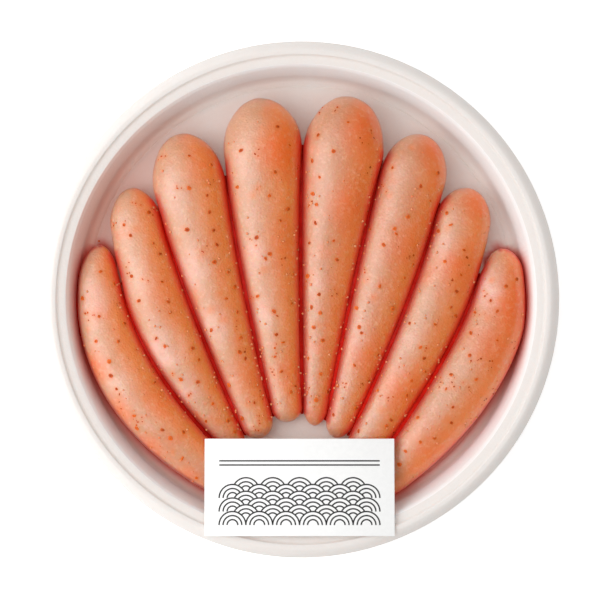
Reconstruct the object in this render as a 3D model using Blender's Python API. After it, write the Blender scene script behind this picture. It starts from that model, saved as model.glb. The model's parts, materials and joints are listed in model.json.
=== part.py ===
"""A round white tray of eight marinated roe sacs, with a card across their tail ends.

Metres, +Z up. The origin is on the surface that the tray stands on, under its centre.
+Y points to the sacs' heads and -Y to the card.
"""

import math
import random
from collections import namedtuple

import bmesh
import bpy
from mathutils import Vector

MM = 0.001
GAP = 0.3 * MM

# The tray, turned about Z. The rim rolls outwards and ends in a short skirt.
TRAY_RADIUS = 100.5 * MM
TRAY_HEIGHT = 20.0 * MM
WALL_THICKNESS = 1.5 * MM
FLOOR_TOP = 1.8 * MM
FLOOR_RADIUS = 84.8 * MM
CORNER_WIDTH = 3.2 * MM
CORNER_HEIGHT = 6.4 * MM
LIP_RADIUS = 91.0 * MM
LEDGE_RADIUS = 94.2 * MM
LEDGE_DROP = 1.5 * MM
LEDGE_FALL = 0.35 * MM
CREST_RADIUS = 96.8 * MM
SKIRT_DEPTH = 5.6 * MM
# The smaller bends of the profile: how wide each is, and how far it drops
LIP_BEND = (0.5 * MM, 1.6 * MM)
LEDGE_BEND = (0.55 * MM, 0.25 * MM)
CREST_BEND = (1.5 * MM, 0.1 * MM)
FOOT_BEND_HEIGHT = 2.6 * MM
FOOT_BEVEL_HEIGHT = 0.8 * MM
TRAY_SEGMENTS = 64
CORNER_STEPS = 4
ROLL_STEPS = 5
ROLL_ROUNDNESS = 1.5

# The roe sacs. A sac's centre line is a bowed curve from its head to its tail.
# head, tail: the ends in plan. bow: how far the middle lies off the straight line,
# towards +X of a sac that points down. lean: where along the line the bow is fullest.
# head_width, middle_width, tail_width: across the flanks.
# head_round, tail_round: how long each rounded end is, in half widths.
Sac = namedtuple(
    "Sac",
    "head tail bow lean head_width middle_width tail_width head_round tail_round",
)
SACS_MM = (
    Sac((-78.3, 21.3), (-20.0, -77.6), -17.3, 0.376, 18.2, 23.0, 13.6, 2.2, 1.2),
    Sac((-66.2, 43.6), (-23.0, -60.5), -8.0, 0.45, 20.6, 22.8, 11.2, 1.4, 1.1),
    Sac((-46.3, 64.9), (-15.4, -54.2), -3.1, 0.25, 28.4, 22.7, 13.6, 1.5, 0.8),
    Sac((-14.2, 78.5), (-4.7, -48.1), -2.8, 0.25, 30.5, 24.0, 13.4, 1.3, 0.8),
    Sac((20.3, 79.1), (5.1, -49.6), -1.8, 0.30, 31.8, 22.5, 10.8, 1.5, 1.3),
    Sac((48.0, 64.3), (13.0, -54.1), 1.3, 0.65, 26.0, 22.4, 12.0, 1.4, 1.1),
    Sac((64.8, 43.6), (20.3, -64.8), 6.5, 0.33, 22.4, 21.6, 14.2, 1.3, 1.1),
    Sac((77.6, 19.8), (26.9, -77.8), 12.8, 0.244, 22.0, 24.0, 13.4, 2.0, 1.8),
)
WIDEST_AT = (0.17, 0.5, 0.92)
HEAD_SWELL = 0.3
HEIGHT_SHARE = 0.7
BELLY_SHARE = 0.44
UPPER_ROUNDNESS = 2.1
LOWER_ROUNDNESS = 2.7
WALL_CLEARANCE = 0.35 * MM
WIDTH_STEP = 0.1 * MM
SAC_RINGS = 21
SAC_SIDES = 16
LINE_STEPS = 60

# Chilli flakes and grains that stick to the tops of the sacs
FLAKES_PER_SAC = 21
FLAKE_SIDES = 5
FLAKE_RADIUS = (0.65 * MM, 1.05 * MM)
FLAKE_THICKNESS = 0.9 * MM
FLAKE_PROUD = 0.4 * MM
FLAKE_TOP_SHARE = 0.7
FLAKE_SPREAD = math.radians(50)
FLAKE_ENDS = (0.07, 0.94)
FLAKE_SPACING = 1.0
FLAKE_SEED = 47
SKIN_STEP = 0.01

# The card rests with its near corners on the rim and its far edge on the sacs.
CARD_WIDTH = 73.8 * MM
CARD_CENTRE_X = -0.6 * MM
CARD_NEAR_Y = -91.7 * MM
CARD_FAR_Y = -54.2 * MM
CARD_THICKNESS = 0.7 * MM
CARD_MARGIN = 6.0 * MM
CARD_FREE = 2.0 * MM
RIM_DEPTH = 6.0 * MM
RIM_SAMPLES = 60
REST_ROUNDS = 5

TRAY_WHITE = (0.80, 0.775, 0.755, 1.0)
ROE_SALMON = (0.80, 0.30, 0.16, 1.0)
CARD_WHITE = (0.88, 0.88, 0.88, 1.0)


def clear_scene():
    for item in list(bpy.data.objects):
        bpy.data.objects.remove(item, do_unlink=True)


def plain_material(name, colour, roughness):
    material = bpy.data.materials.new(name)
    material.use_nodes = True
    shader = material.node_tree.nodes["Principled BSDF"]
    shader.inputs["Base Color"].default_value = colour
    shader.inputs["Roughness"].default_value = roughness
    shader.inputs["Metallic"].default_value = 0.0
    return material


def add_object(name, mesh_data, material):
    mesh = bpy.data.meshes.new(name)
    mesh_data.to_mesh(mesh)
    mesh_data.free()
    mesh.materials.append(material)
    item = bpy.data.objects.new(name, mesh)
    bpy.context.scene.collection.objects.link(item)
    return item


def shade_round(item, crease_degrees):
    item.data.shade_smooth()
    item.data.set_sharp_from_angle(angle=math.radians(crease_degrees))


def rounded(value, roundness):
    """A sine or cosine bent towards a chamfer below a roundness of 2, or a box above it."""
    return math.copysign(abs(value) ** (2 / roundness), value)


def ledge_height(radius):
    """The ledge falls a little from its outer side to the lip."""
    share = (LEDGE_RADIUS - radius) / (LEDGE_RADIUS - LIP_RADIUS)
    return TRAY_HEIGHT - LEDGE_DROP - LEDGE_FALL * share


def corner_point(turn):
    """A point on the rounded corner between the floor and the wall, from 0 to a half pi."""
    radius = FLOOR_RADIUS + CORNER_WIDTH * math.sin(turn)
    return radius, FLOOR_TOP + CORNER_HEIGHT * (1 - math.cos(turn))


def wall_radius(height):
    """The inner side's radius at a height between the floor and the lip."""
    rise = (height - FLOOR_TOP) / CORNER_HEIGHT
    if rise < 1:
        return corner_point(math.acos(1 - max(rise, 0.0)))[0]
    foot_radius, foot = corner_point(0.5 * math.pi)
    share = (height - foot) / (ledge_height(LIP_RADIUS) - foot)
    return foot_radius + (LIP_RADIUS - foot_radius) * share


def tray_profile():
    """The tray's cut edge from the axis along the inside, over the rim and back underneath."""
    roll_width = TRAY_RADIUS - CREST_RADIUS
    lip_z = ledge_height(LIP_RADIUS)
    ledge_z = ledge_height(LEDGE_RADIUS)
    inside = [(0.0, FLOOR_TOP)]
    for step in range(CORNER_STEPS + 1):
        inside.append(corner_point(0.5 * math.pi * step / CORNER_STEPS))
    inside += [
        (wall_radius(lip_z - LIP_BEND[1]), lip_z - LIP_BEND[1]),
        (LIP_RADIUS + LIP_BEND[0], lip_z),
        (LEDGE_RADIUS, ledge_z),
        (LEDGE_RADIUS + LEDGE_BEND[0], ledge_z + LEDGE_BEND[1]),
        (CREST_RADIUS - CREST_BEND[0], TRAY_HEIGHT - CREST_BEND[1]),
    ]
    roll = []
    for step in range(ROLL_STEPS + 1):
        angle = 0.5 * math.pi * step / ROLL_STEPS
        x = CREST_RADIUS + roll_width * rounded(math.sin(angle), ROLL_ROUNDNESS)
        z = TRAY_HEIGHT - roll_width * (1 - rounded(math.cos(angle), ROLL_ROUNDNESS))
        roll.append((x, z))
    skirt_z = TRAY_HEIGHT - SKIRT_DEPTH
    foot_radius, foot = corner_point(0.5 * math.pi)
    outside = [
        (TRAY_RADIUS, skirt_z),
        (TRAY_RADIUS - WALL_THICKNESS, skirt_z),
        (TRAY_RADIUS - WALL_THICKNESS, TRAY_HEIGHT - roll_width),
        (CREST_RADIUS, TRAY_HEIGHT - WALL_THICKNESS),
        (LEDGE_RADIUS + LEDGE_BEND[0], ledge_z - WALL_THICKNESS),
        (LIP_RADIUS + WALL_THICKNESS, lip_z - WALL_THICKNESS),
        (foot_radius + WALL_THICKNESS, foot),
        (foot_radius + 0.5 * WALL_THICKNESS, FOOT_BEND_HEIGHT),
        (FLOOR_RADIUS + WALL_THICKNESS, FOOT_BEVEL_HEIGHT),
        (FLOOR_RADIUS, 0.0),
        (0.0, 0.0),
    ]
    return inside + roll + outside


def build_tray(material):
    """Turns the profile about Z. Its two ends lie on the axis, so the shape closes there."""
    shape = bmesh.new()
    profile = [shape.verts.new((x, 0.0, z)) for x, z in tray_profile()]
    edges = [shape.edges.new(pair) for pair in zip(profile, profile[1:])]
    bmesh.ops.spin(
        shape,
        geom=profile + edges,
        cent=(0.0, 0.0, 0.0),
        axis=(0.0, 0.0, 1.0),
        angle=2 * math.pi,
        steps=TRAY_SEGMENTS,
        use_merge=True,
    )
    bmesh.ops.remove_doubles(shape, verts=shape.verts, dist=0.00001)
    bmesh.ops.recalc_face_normals(shape, faces=shape.faces)
    tray = add_object("tray", shape, material)
    shade_round(tray, 40)
    return tray


class SacLine:
    """A sac's centre line in plan, and how wide it is along it. Lengths in metres."""

    def __init__(self, sac):
        self.sac = sac
        self.points = self.curve_points()
        self.along = self.lengths()
        self.length = self.along[-1]

    def curve_points(self):
        head = Vector(self.sac.head) * MM
        tail = Vector(self.sac.tail) * MM
        chord = tail - head
        side = Vector((-chord.y, chord.x)).normalized()
        middle = head + chord * self.sac.lean + side * (2 * self.sac.bow * MM)
        points = []
        for step in range(LINE_STEPS + 1):
            t = step / LINE_STEPS
            points.append(head * (1 - t) ** 2 + middle * (2 * t * (1 - t)) + tail * t**2)
        return points

    def lengths(self):
        along = [0.0]
        for a, b in zip(self.points, self.points[1:]):
            along.append(along[-1] + (b - a).length)
        return along

    def place(self, share):
        """The point at a share of the length, and the direction towards the tail."""
        target = min(max(share, 0.0), 1.0) * self.length
        step = 0
        while step < LINE_STEPS - 1 and self.along[step + 1] < target:
            step += 1
        a, b = self.points[step], self.points[step + 1]
        part = (target - self.along[step]) / (self.along[step + 1] - self.along[step])
        return a.lerp(b, part), (b - a).normalized()

    def full_width(self, share):
        """Half the width at a share of the length, before the ends round it off."""
        sizes = (self.sac.head_width, self.sac.middle_width, self.sac.tail_width)
        width = 0.0
        for own, size in enumerate(sizes):
            weight = 1.0
            for other in range(3):
                if other != own:
                    weight *= share - WIDEST_AT[other]
                    weight /= WIDEST_AT[own] - WIDEST_AT[other]
            width += size * weight
        if share < WIDEST_AT[0]:
            width = sizes[0] + (width - sizes[0]) * HEAD_SWELL
        return 0.5 * width * MM

    def end_rounding(self, share):
        """1 along the middle, falling to 0 at both ends as on an ellipse."""
        head_length = 0.5 * self.sac.head_width * self.sac.head_round * MM
        tail_length = 0.5 * self.sac.tail_width * self.sac.tail_round * MM
        from_head = max(0.0, 1 - share * self.length / head_length)
        from_tail = max(0.0, 1 - (1 - share) * self.length / tail_length)
        return math.sqrt(max(0.0, 1 - from_head**2) * max(0.0, 1 - from_tail**2))

    def nearest(self, point):
        """The distance from a point to the centre line, and the share where it is nearest."""
        found = (math.inf, 0.0)
        for step, (a, b) in enumerate(zip(self.points, self.points[1:])):
            leg = b - a
            part = min(max((point - a).dot(leg) / leg.length_squared, 0.0), 1.0)
            distance = (point - a - leg * part).length
            if distance < found[0]:
                found = (distance, (self.along[step] + leg.length * part) / self.length)
        return found


def pressed_width(lines, index, share, side):
    """Half the width on one side, where the flank gives way to its neighbour and the wall.

    Two flanks that would meet share the room between their centre lines by their widths.
    """
    line = lines[index]
    rounding = line.end_rounding(share)
    own = line.full_width(share) * rounding
    centre, direction = line.place(share)
    outwards = Vector((-direction.y, direction.x)) * side
    width = own
    neighbour = index + side
    if 0 <= neighbour < len(lines):
        other = lines[neighbour]
        reach = centre + outwards * own
        distance, other_share = other.nearest(reach)
        theirs = other.full_width(other_share) * other.end_rounding(other_share)
        room = (other.nearest(centre)[0] - GAP) / max(own + theirs, GAP)
        if distance < theirs + GAP:
            width = own * min(room, 1.0)
    limit = wall_radius(base_height() + BELLY_SHARE * HEIGHT_SHARE * 2 * own) - WALL_CLEARANCE
    while width > 0 and (centre + outwards * width).length > limit:
        width -= WIDTH_STEP
    return max(width, 0.0)


def base_height():
    return FLOOR_TOP + GAP


def ring_shares(rings):
    """Shares of the length, closer together towards the two rounded ends."""
    return [0.5 - 0.5 * math.cos(math.pi * ring / rings) for ring in range(1, rings)]


def sac_point(lines, index, share, angle):
    """A point on the sac's skin. The angle runs from the +side flank over the top."""
    line = lines[index]
    centre, direction = line.place(share)
    outwards = Vector((-direction.y, direction.x))
    side = 1 if math.cos(angle) >= 0 else -1
    width = pressed_width(lines, index, share, side)
    height = 2 * line.full_width(share) * HEIGHT_SHARE
    rounding = line.end_rounding(share)
    over = math.sin(angle) >= 0
    roundness = UPPER_ROUNDNESS if over else LOWER_ROUNDNESS
    reach = (1 - BELLY_SHARE if over else BELLY_SHARE) * height * rounding
    plan = centre + outwards * (width * rounded(math.cos(angle), roundness))
    z = base_height() + BELLY_SHARE * height + reach * rounded(math.sin(angle), roundness)
    return Vector((plan.x, plan.y, z))


def end_point(lines, index, share):
    line = lines[index]
    centre, _ = line.place(share)
    height = 2 * line.full_width(share) * HEIGHT_SHARE
    return Vector((centre.x, centre.y, base_height() + BELLY_SHARE * height))


def sac_shape(lines, index):
    """Rings of points along the centre line, joined into one closed skin."""
    shape = bmesh.new()
    rings = []
    for share in ring_shares(SAC_RINGS):
        ring = []
        for corner in range(SAC_SIDES):
            angle = 2 * math.pi * corner / SAC_SIDES
            ring.append(shape.verts.new(sac_point(lines, index, share, angle)))
        rings.append(ring)
    for first, second in zip(rings, rings[1:]):
        for corner in range(SAC_SIDES):
            after = (corner + 1) % SAC_SIDES
            shape.faces.new((first[corner], first[after], second[after], second[corner]))
    head = shape.verts.new(end_point(lines, index, 0.0))
    tail = shape.verts.new(end_point(lines, index, 1.0))
    for corner in range(SAC_SIDES):
        after = (corner + 1) % SAC_SIDES
        shape.faces.new((head, rings[0][after], rings[0][corner]))
        shape.faces.new((tail, rings[-1][corner], rings[-1][after]))
    bmesh.ops.recalc_face_normals(shape, faces=shape.faces)
    return shape


def skin_frame(lines, index, share, angle):
    """A point on the upper skin with its outward normal and its direction along the sac."""
    point = sac_point(lines, index, share, angle)
    along = (sac_point(lines, index, share + SKIN_STEP, angle) - point).normalized()
    across = (sac_point(lines, index, share, angle + SKIN_STEP) - point).normalized()
    normal = along.cross(across).normalized()
    if normal.z < 0:
        normal.negate()
    return point, normal, along


def under_card(point):
    inside_x = abs(point.x - CARD_CENTRE_X) < 0.5 * CARD_WIDTH + CARD_FREE
    return inside_x and point.y < CARD_FAR_Y + CARD_FREE


def flake_places(lines, index):
    """Seeded places along the top of the sac, one for each step of its length."""
    draw = random.Random(FLAKE_SEED + index)
    places = []
    first, last = FLAKE_ENDS
    for step in range(FLAKES_PER_SAC):
        share = first + (last - first) * (step + draw.uniform(0.1, 0.9)) / FLAKES_PER_SAC
        angle = 0.5 * math.pi + FLAKE_SPREAD * draw.uniform(-1, 1)
        radius = draw.uniform(*FLAKE_RADIUS)
        turn = draw.uniform(0, 2 * math.pi)
        squash = draw.uniform(0.6, 1.0)
        point, normal, along = skin_frame(lines, index, share, angle)
        spaced = all(
            (point - other[0]).length > FLAKE_SPACING * (radius + other[3]) for other in places
        )
        if spaced and not under_card(point):
            places.append((point, normal, along, radius, turn, squash))
    return places


def flake_object(number, place):
    """A flat chip with slanted sides, sunk into the skin and standing a little proud."""
    point, normal, along, radius, turn, squash = place
    across = normal.cross(along).normalized()
    shape = bmesh.new()
    bottom, top = [], []
    for corner in range(FLAKE_SIDES):
        angle = turn + 2 * math.pi * corner / FLAKE_SIDES
        flat = along * (radius * math.cos(angle)) + across * (radius * squash * math.sin(angle))
        bottom.append(shape.verts.new(point + flat + normal * (FLAKE_PROUD - FLAKE_THICKNESS)))
        top.append(shape.verts.new(point + flat * FLAKE_TOP_SHARE + normal * FLAKE_PROUD))
    shape.faces.new(bottom[::-1])
    shape.faces.new(top)
    for corner in range(FLAKE_SIDES):
        after = (corner + 1) % FLAKE_SIDES
        shape.faces.new((bottom[corner], bottom[after], top[after], top[corner]))
    bmesh.ops.recalc_face_normals(shape, faces=shape.faces)
    mesh = bpy.data.meshes.new(f"flake_{number}")
    shape.to_mesh(mesh)
    shape.free()
    return bpy.data.objects.new(mesh.name, mesh)


def fuse_flakes(sac, flakes):
    """Joins the flakes to the sac by one Boolean union, then removes their objects."""
    group = bpy.data.collections.new(f"{sac.name}_flakes")
    bpy.context.scene.collection.children.link(group)
    for flake in flakes:
        group.objects.link(flake)
    union = sac.modifiers.new("flakes", "BOOLEAN")
    union.operation = "UNION"
    union.solver = "EXACT"
    union.operand_type = "COLLECTION"
    union.collection = group
    bpy.context.view_layer.update()
    evaluated = sac.evaluated_get(bpy.context.evaluated_depsgraph_get())
    fused = bpy.data.meshes.new_from_object(evaluated)
    sac.modifiers.clear()
    plain = sac.data
    sac.data = fused
    bpy.data.meshes.remove(plain)
    fused.name = sac.name
    for flake in flakes:
        bpy.data.meshes.remove(flake.data)
    bpy.data.collections.remove(group)


def build_sacs(material):
    lines = [SacLine(sac) for sac in SACS_MM]
    sacs = []
    for index in range(len(lines)):
        sac = add_object(f"roe_sac_{index + 1}", sac_shape(lines, index), material)
        flakes = []
        for number, place in enumerate(flake_places(lines, index)):
            flakes.append(flake_object(number, place))
        fuse_flakes(sac, flakes)
        shade_round(sac, 35)
        sacs.append(sac)
    return sacs


def steps_between(first, last, count):
    return [first + (last - first) * step / count for step in range(count + 1)]


def rim_height(radius):
    """The height of the tray's upper surface between the lip and the outer edge."""
    upper = [point for point in tray_profile() if point[1] > TRAY_HEIGHT - RIM_DEPTH]
    for (x1, z1), (x2, z2) in zip(upper, upper[1:]):
        if x1 <= radius <= x2:
            return z1 + (z2 - z1) * (radius - x1) / (x2 - x1)
    return 0.0


def under_the_card(sacs):
    """The heights, each with its Y, that the card must clear: the rim's, then the sacs'."""
    left = CARD_CENTRE_X - 0.5 * CARD_WIDTH
    right = CARD_CENTRE_X + 0.5 * CARD_WIDTH
    rim = []
    for x in steps_between(left, right, RIM_SAMPLES):
        for y in steps_between(CARD_NEAR_Y, CARD_FAR_Y, RIM_SAMPLES):
            rim.append((y, rim_height(math.hypot(x, y)) + GAP))
    tops = []
    for sac in sacs:
        for vertex in sac.data.vertices:
            x, y, z = vertex.co
            if left - CARD_MARGIN < x < right + CARD_MARGIN and y < CARD_FAR_Y + CARD_MARGIN:
                tops.append((y, z + GAP))
    return rim, tops


def rest_card(sacs):
    """Tips the card about the rim until its far edge meets the sacs: a point and a slope."""
    rim, tops = under_the_card(sacs)
    slope = 0.0
    for _ in range(REST_ROUNDS):
        hinge_y, hinge_z = max(rim, key=lambda place: place[1] - slope * place[0])
        slope = max((z - hinge_z) / (y - hinge_y) for y, z in tops)
    hinge_y, hinge_z = max(rim, key=lambda place: place[1] - slope * place[0])
    return hinge_y, hinge_z, slope


def build_card(material, sacs):
    """A thin stiff card, cut straight up and down at its four edges."""
    hinge_y, hinge_z, slope = rest_card(sacs)
    shape = bmesh.new()
    bmesh.ops.create_cube(shape, size=1.0)
    for vertex in shape.verts:
        x = CARD_CENTRE_X + vertex.co.x * CARD_WIDTH
        y = CARD_NEAR_Y if vertex.co.y < 0 else CARD_FAR_Y
        lift = CARD_THICKNESS if vertex.co.z > 0 else 0.0
        vertex.co = (x, y, hinge_z + slope * (y - hinge_y) + lift)
    return add_object("label_card", shape, material)


def main():
    clear_scene()
    build_tray(plain_material("tray white", TRAY_WHITE, 0.6))
    sacs = build_sacs(plain_material("roe sac", ROE_SALMON, 0.35))
    build_card(plain_material("white card", CARD_WHITE, 0.55), sacs)


main()
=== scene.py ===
"""Dresses a round tray of eight marinated roe sacs: skins, chilli, grains, marinade and card.

Metres, +Z up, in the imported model's frame. +Y points to the sacs' heads and -Y to the card.
"""

import json
import math
import random
from collections import namedtuple

import bmesh
import bpy
import numpy as np
from bpy.props import FloatProperty, FloatVectorProperty, IntProperty, PointerProperty
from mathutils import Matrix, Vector, noise
from mathutils.bvhtree import BVHTree
from mathutils.kdtree import KDTree

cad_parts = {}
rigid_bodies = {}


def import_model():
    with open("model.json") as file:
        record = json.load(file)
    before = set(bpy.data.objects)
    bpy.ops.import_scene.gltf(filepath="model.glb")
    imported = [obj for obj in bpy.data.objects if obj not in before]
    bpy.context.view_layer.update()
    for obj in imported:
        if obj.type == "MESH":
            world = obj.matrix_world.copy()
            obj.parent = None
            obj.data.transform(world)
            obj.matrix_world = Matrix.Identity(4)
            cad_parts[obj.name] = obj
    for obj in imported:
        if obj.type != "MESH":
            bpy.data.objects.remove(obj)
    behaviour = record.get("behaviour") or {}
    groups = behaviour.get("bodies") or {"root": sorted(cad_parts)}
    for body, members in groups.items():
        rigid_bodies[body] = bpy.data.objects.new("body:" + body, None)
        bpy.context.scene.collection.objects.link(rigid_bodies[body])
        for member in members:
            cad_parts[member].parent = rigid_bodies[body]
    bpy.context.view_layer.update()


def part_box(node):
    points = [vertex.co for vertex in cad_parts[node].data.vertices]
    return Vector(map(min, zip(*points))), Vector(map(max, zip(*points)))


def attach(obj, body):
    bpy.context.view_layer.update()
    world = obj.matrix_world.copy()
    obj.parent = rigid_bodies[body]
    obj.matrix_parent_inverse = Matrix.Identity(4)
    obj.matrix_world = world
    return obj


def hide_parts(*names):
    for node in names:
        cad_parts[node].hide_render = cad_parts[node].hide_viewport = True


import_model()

bl_info = {
    "name": "Roe Sac Tray",
    "version": (1, 0, 0),
    "blender": (4, 5, 0),
    "location": "View3D > Sidebar > Roe Tray",
    "description": "Builds a round tray of marinated roe sacs with chilli and a card",
    "category": "Object",
}

MM = 0.001
GAP = 0.3 * MM

# The tray, turned about Z, as in the solid
TRAY_RADIUS = 100.5 * MM
TRAY_HEIGHT = 20.0 * MM
WALL_THICKNESS = 1.5 * MM
FLOOR_TOP = 1.8 * MM
FLOOR_RADIUS = 84.8 * MM
CORNER_WIDTH = 3.2 * MM
CORNER_HEIGHT = 6.4 * MM
LIP_RADIUS = 91.0 * MM
LEDGE_RADIUS = 94.2 * MM
LEDGE_DROP = 1.5 * MM
LEDGE_FALL = 0.35 * MM
CREST_RADIUS = 96.8 * MM
SKIRT_DEPTH = 5.6 * MM
LIP_BEND = (0.5 * MM, 1.6 * MM)
LEDGE_BEND = (0.55 * MM, 0.25 * MM)
CREST_BEND = (1.5 * MM, 0.1 * MM)
FOOT_BEND_HEIGHT = 2.6 * MM
FOOT_BEVEL_HEIGHT = 0.8 * MM
CORNER_STEPS = 12
ROLL_STEPS = 10
ROLL_ROUNDNESS = 1.5
TRAY_BEVEL = 0.22 * MM
FLOOR_RINGS = 52
# Points under the first height are on the underside, and points within the margin of the
# wall's inner face are still on the inside
UNDERSIDE = 0.5 * FLOOR_TOP
INSIDE_MARGIN = 0.4 * WALL_THICKNESS
# The moulded crease round the floor: its width and depth, how far it wanders in and out,
# how near to it a point wanders along, and how often it does
CREASE_WIDTH = 1.0 * MM
CREASE_DEPTH = 0.45 * MM
CREASE_WANDER = 0.45 * MM
CREASE_REACH = 2.5 * MM
CREASE_WAVES = 9

# The roe sacs, as in the solids. A sac's centre line is a bowed curve from head to tail.
# head, tail: the ends in plan. bow: how far the middle lies off the straight line,
# towards +X of a sac that points down. lean: where along the line the bow is fullest.
# head_width, middle_width, tail_width: across the flanks.
# head_round, tail_round: how long each rounded end is, in half widths.
Sac = namedtuple(
    "Sac",
    "head tail bow lean head_width middle_width tail_width head_round tail_round",
)
SACS_MM = (
    Sac((-78.3, 21.3), (-20.0, -77.6), -17.3, 0.376, 18.2, 23.0, 13.6, 2.2, 1.2),
    Sac((-66.2, 43.6), (-23.0, -60.5), -8.0, 0.45, 20.6, 22.8, 11.2, 1.4, 1.1),
    Sac((-46.3, 64.9), (-15.4, -54.2), -3.1, 0.25, 28.4, 22.7, 13.6, 1.5, 0.8),
    Sac((-14.2, 78.5), (-4.7, -48.1), -2.8, 0.25, 30.5, 24.0, 13.4, 1.3, 0.8),
    Sac((20.3, 79.1), (5.1, -49.6), -1.8, 0.30, 31.8, 22.5, 10.8, 1.5, 1.3),
    Sac((48.0, 64.3), (13.0, -54.1), 1.3, 0.65, 26.0, 22.4, 12.0, 1.4, 1.1),
    Sac((64.8, 43.6), (20.3, -64.8), 6.5, 0.33, 22.4, 21.6, 14.2, 1.3, 1.1),
    Sac((77.6, 19.8), (26.9, -77.8), 12.8, 0.244, 22.0, 24.0, 13.4, 2.0, 1.8),
)
# The shares of a sac's length where its three widths are given. Nearer to the head than
# the first of them, only this part of the width's further change is kept.
WIDEST_AT = (0.17, 0.5, 0.92)
HEAD_SWELL = 0.3
# A sac's height against its width, the part of it under the widest level, and how square
# its section is above and below that level, where 2 is an ellipse
HEIGHT_SHARE = 0.7
BELLY_SHARE = 0.44
UPPER_ROUNDNESS = 2.1
LOWER_ROUNDNESS = 2.7
WALL_CLEARANCE = 0.35 * MM
LINE_STEPS = 60
SKIN_RINGS = 112
SKIN_SIDES = 64
ROOM_STEPS = 160
ROOM_SMOOTHING = 4

# The skin's soft lumps: how many to the metre, how strong the small ones are, and how far
# the pattern moves on from one sac to the next
WIDE_LUMPS = 75
SMALL_LUMPS = 260
SMALL_LUMP_SHARE = 0.25
LUMP_SHIFT = 0.37

# Where across a sac, from -1 at its left edge to 1 at its right one, it turns from the pale to
# the warm colour. This is painted light and shade: the left flank, which faces the lights, is
# painted paler, and the right flank is painted warmer and darker as shade.
LIT_TO_SHADED_FLANK = (-0.4, 0.9)

# How near to a groove's line its red starts to fade and how far away it ends: on a sac's right
# flank, on its left one, and on a flank beside the wall. The red is partly marinade in the
# grooves and partly painted shade where the flanks close in.
RIGHT_RED = (0.4 * MM, 3.6 * MM)
LEFT_RED = (0.4 * MM, 3.8 * MM)
WALL_RED = (0.2 * MM, 2.0 * MM)
# How wide a groove, and the gap beside the wall, are where their red starts to fade and ends
OPEN_GROOVE = (0.8 * MM, 3.4 * MM)
OPEN_WALL = (6.0 * MM, 20.0 * MM)
# How red the skin is at its lowest, partly pooled marinade and partly painted shade by the floor,
# and the heights between which that fades
LOW_RED = 0.6
LOW_RED_FADE = (FLOOR_TOP + 1.0 * MM, FLOOR_TOP + 5.0 * MM)
# How strongly the steep sides take the deep tone, which is painted shade there, and how far the
# skin has to face up, from 0 to 1, where that starts to fade and ends
SIDE_SHADE = 0.7
SIDE_SLOPE = (0.1, 0.5)
# How much of the deep tone each sac has all over
SAC_SHADE = (0.0, 0.0, 0.0, 0.0, 0.12, 0.12, 0.04, 0.06)

# The larger orange patches, by the sac's number: x, y and reach in mm, and strength
PATCHES_MM = {
    1: (
        (-76.0, 14.0, 10.0, 0.3),
        (-52.0, -38.0, 14.0, 0.5),
        (-83.0, -28.0, 13.0, 0.9),
        (-74.0, -46.0, 14.0, 0.9),
        (-61.0, -61.0, 14.0, 0.9),
        (-46.0, -73.0, 14.0, 0.9),
    ),
    2: ((-52.0, 2.0, 16.0, 0.3),),
    3: ((-33.0, 55.0, 15.0, 0.55), (-20.0, -30.0, 16.0, 0.4)),
    4: ((-5.5, 58.0, 17.0, 0.9), (-2.5, 20.0, 18.0, 0.5), (-2.0, -30.0, 14.0, 0.5)),
    5: ((27.0, 66.0, 17.0, 0.8), (20.0, 36.0, 15.0, 0.6)),
    6: ((53.0, 60.0, 13.0, 0.7), (40.0, 20.0, 16.0, 0.4), (26.0, -22.0, 14.0, 0.5)),
    7: ((69.0, 38.0, 13.0, 0.7), (62.0, 12.0, 16.0, 0.7), (40.0, -36.0, 16.0, 0.6)),
    8: ((87.0, -3.0, 23.0, 1.0), (76.0, -18.0, 18.0, 0.6), (50.0, -58.0, 18.0, 0.4)),
}
# The milky areas, in the same way. They lie where the highlights fall on the left flanks, so they
# are partly the membrane's milkiness and partly painted highlight.
MILKY_HIGHLIGHTS_MM = {
    1: ((-82.0, -1.0, 14.0, 0.5), (-71.0, -34.0, 10.0, 0.3)),
    2: ((-65.0, 8.0, 12.0, 0.2), (-54.0, -20.0, 14.0, 0.8), (-46.0, -35.0, 11.0, 0.6)),
    3: ((-50.0, 40.0, 11.0, 0.5), (-43.0, 12.0, 12.0, 0.7), (-35.0, -11.0, 11.0, 0.8)),
    4: ((-22.0, 52.0, 11.0, 0.3), (-19.0, 16.0, 11.0, 0.5), (-15.0, -6.0, 9.0, 0.6)),
    5: ((5.0, 6.0, 8.0, 0.4),),
    6: ((22.0, -14.0, 8.0, 0.3),),
    7: ((56.0, 22.0, 8.0, 0.4), (41.0, -16.0, 8.0, 0.3)),
    8: ((71.0, 5.0, 11.0, 1.0),),
}

# Each kind of small thing on the sacs has a range of radii, of widths as shares of its
# length, and of tints from its first colour to its second
Kind = namedtuple("Kind", "radius squash tint")
FLAKE = Kind((0.65 * MM, 1.05 * MM), (0.6, 1.0), (0.0, 0.6))
SPECK = Kind((0.22 * MM, 0.55 * MM), (0.4, 1.0), (0.0, 0.6))
GRAIN = Kind((0.3 * MM, 0.58 * MM), (0.7, 1.0), (0.0, 0.35))

# Chilli flakes at the places that the solids have them: how far round a sac from its top,
# between which shares of its length, and where in its own step of that length each lies
FLAKES_PER_SAC = 21
FLAKE_SPREAD = math.radians(50)
FLAKE_ENDS = (0.07, 0.94)
FLAKE_STEP = (0.1, 0.9)
FLAKE_THICKNESS = 0.9 * MM
FLAKE_PROUD = 0.4 * MM
FLAKE_SEED = 47
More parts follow.
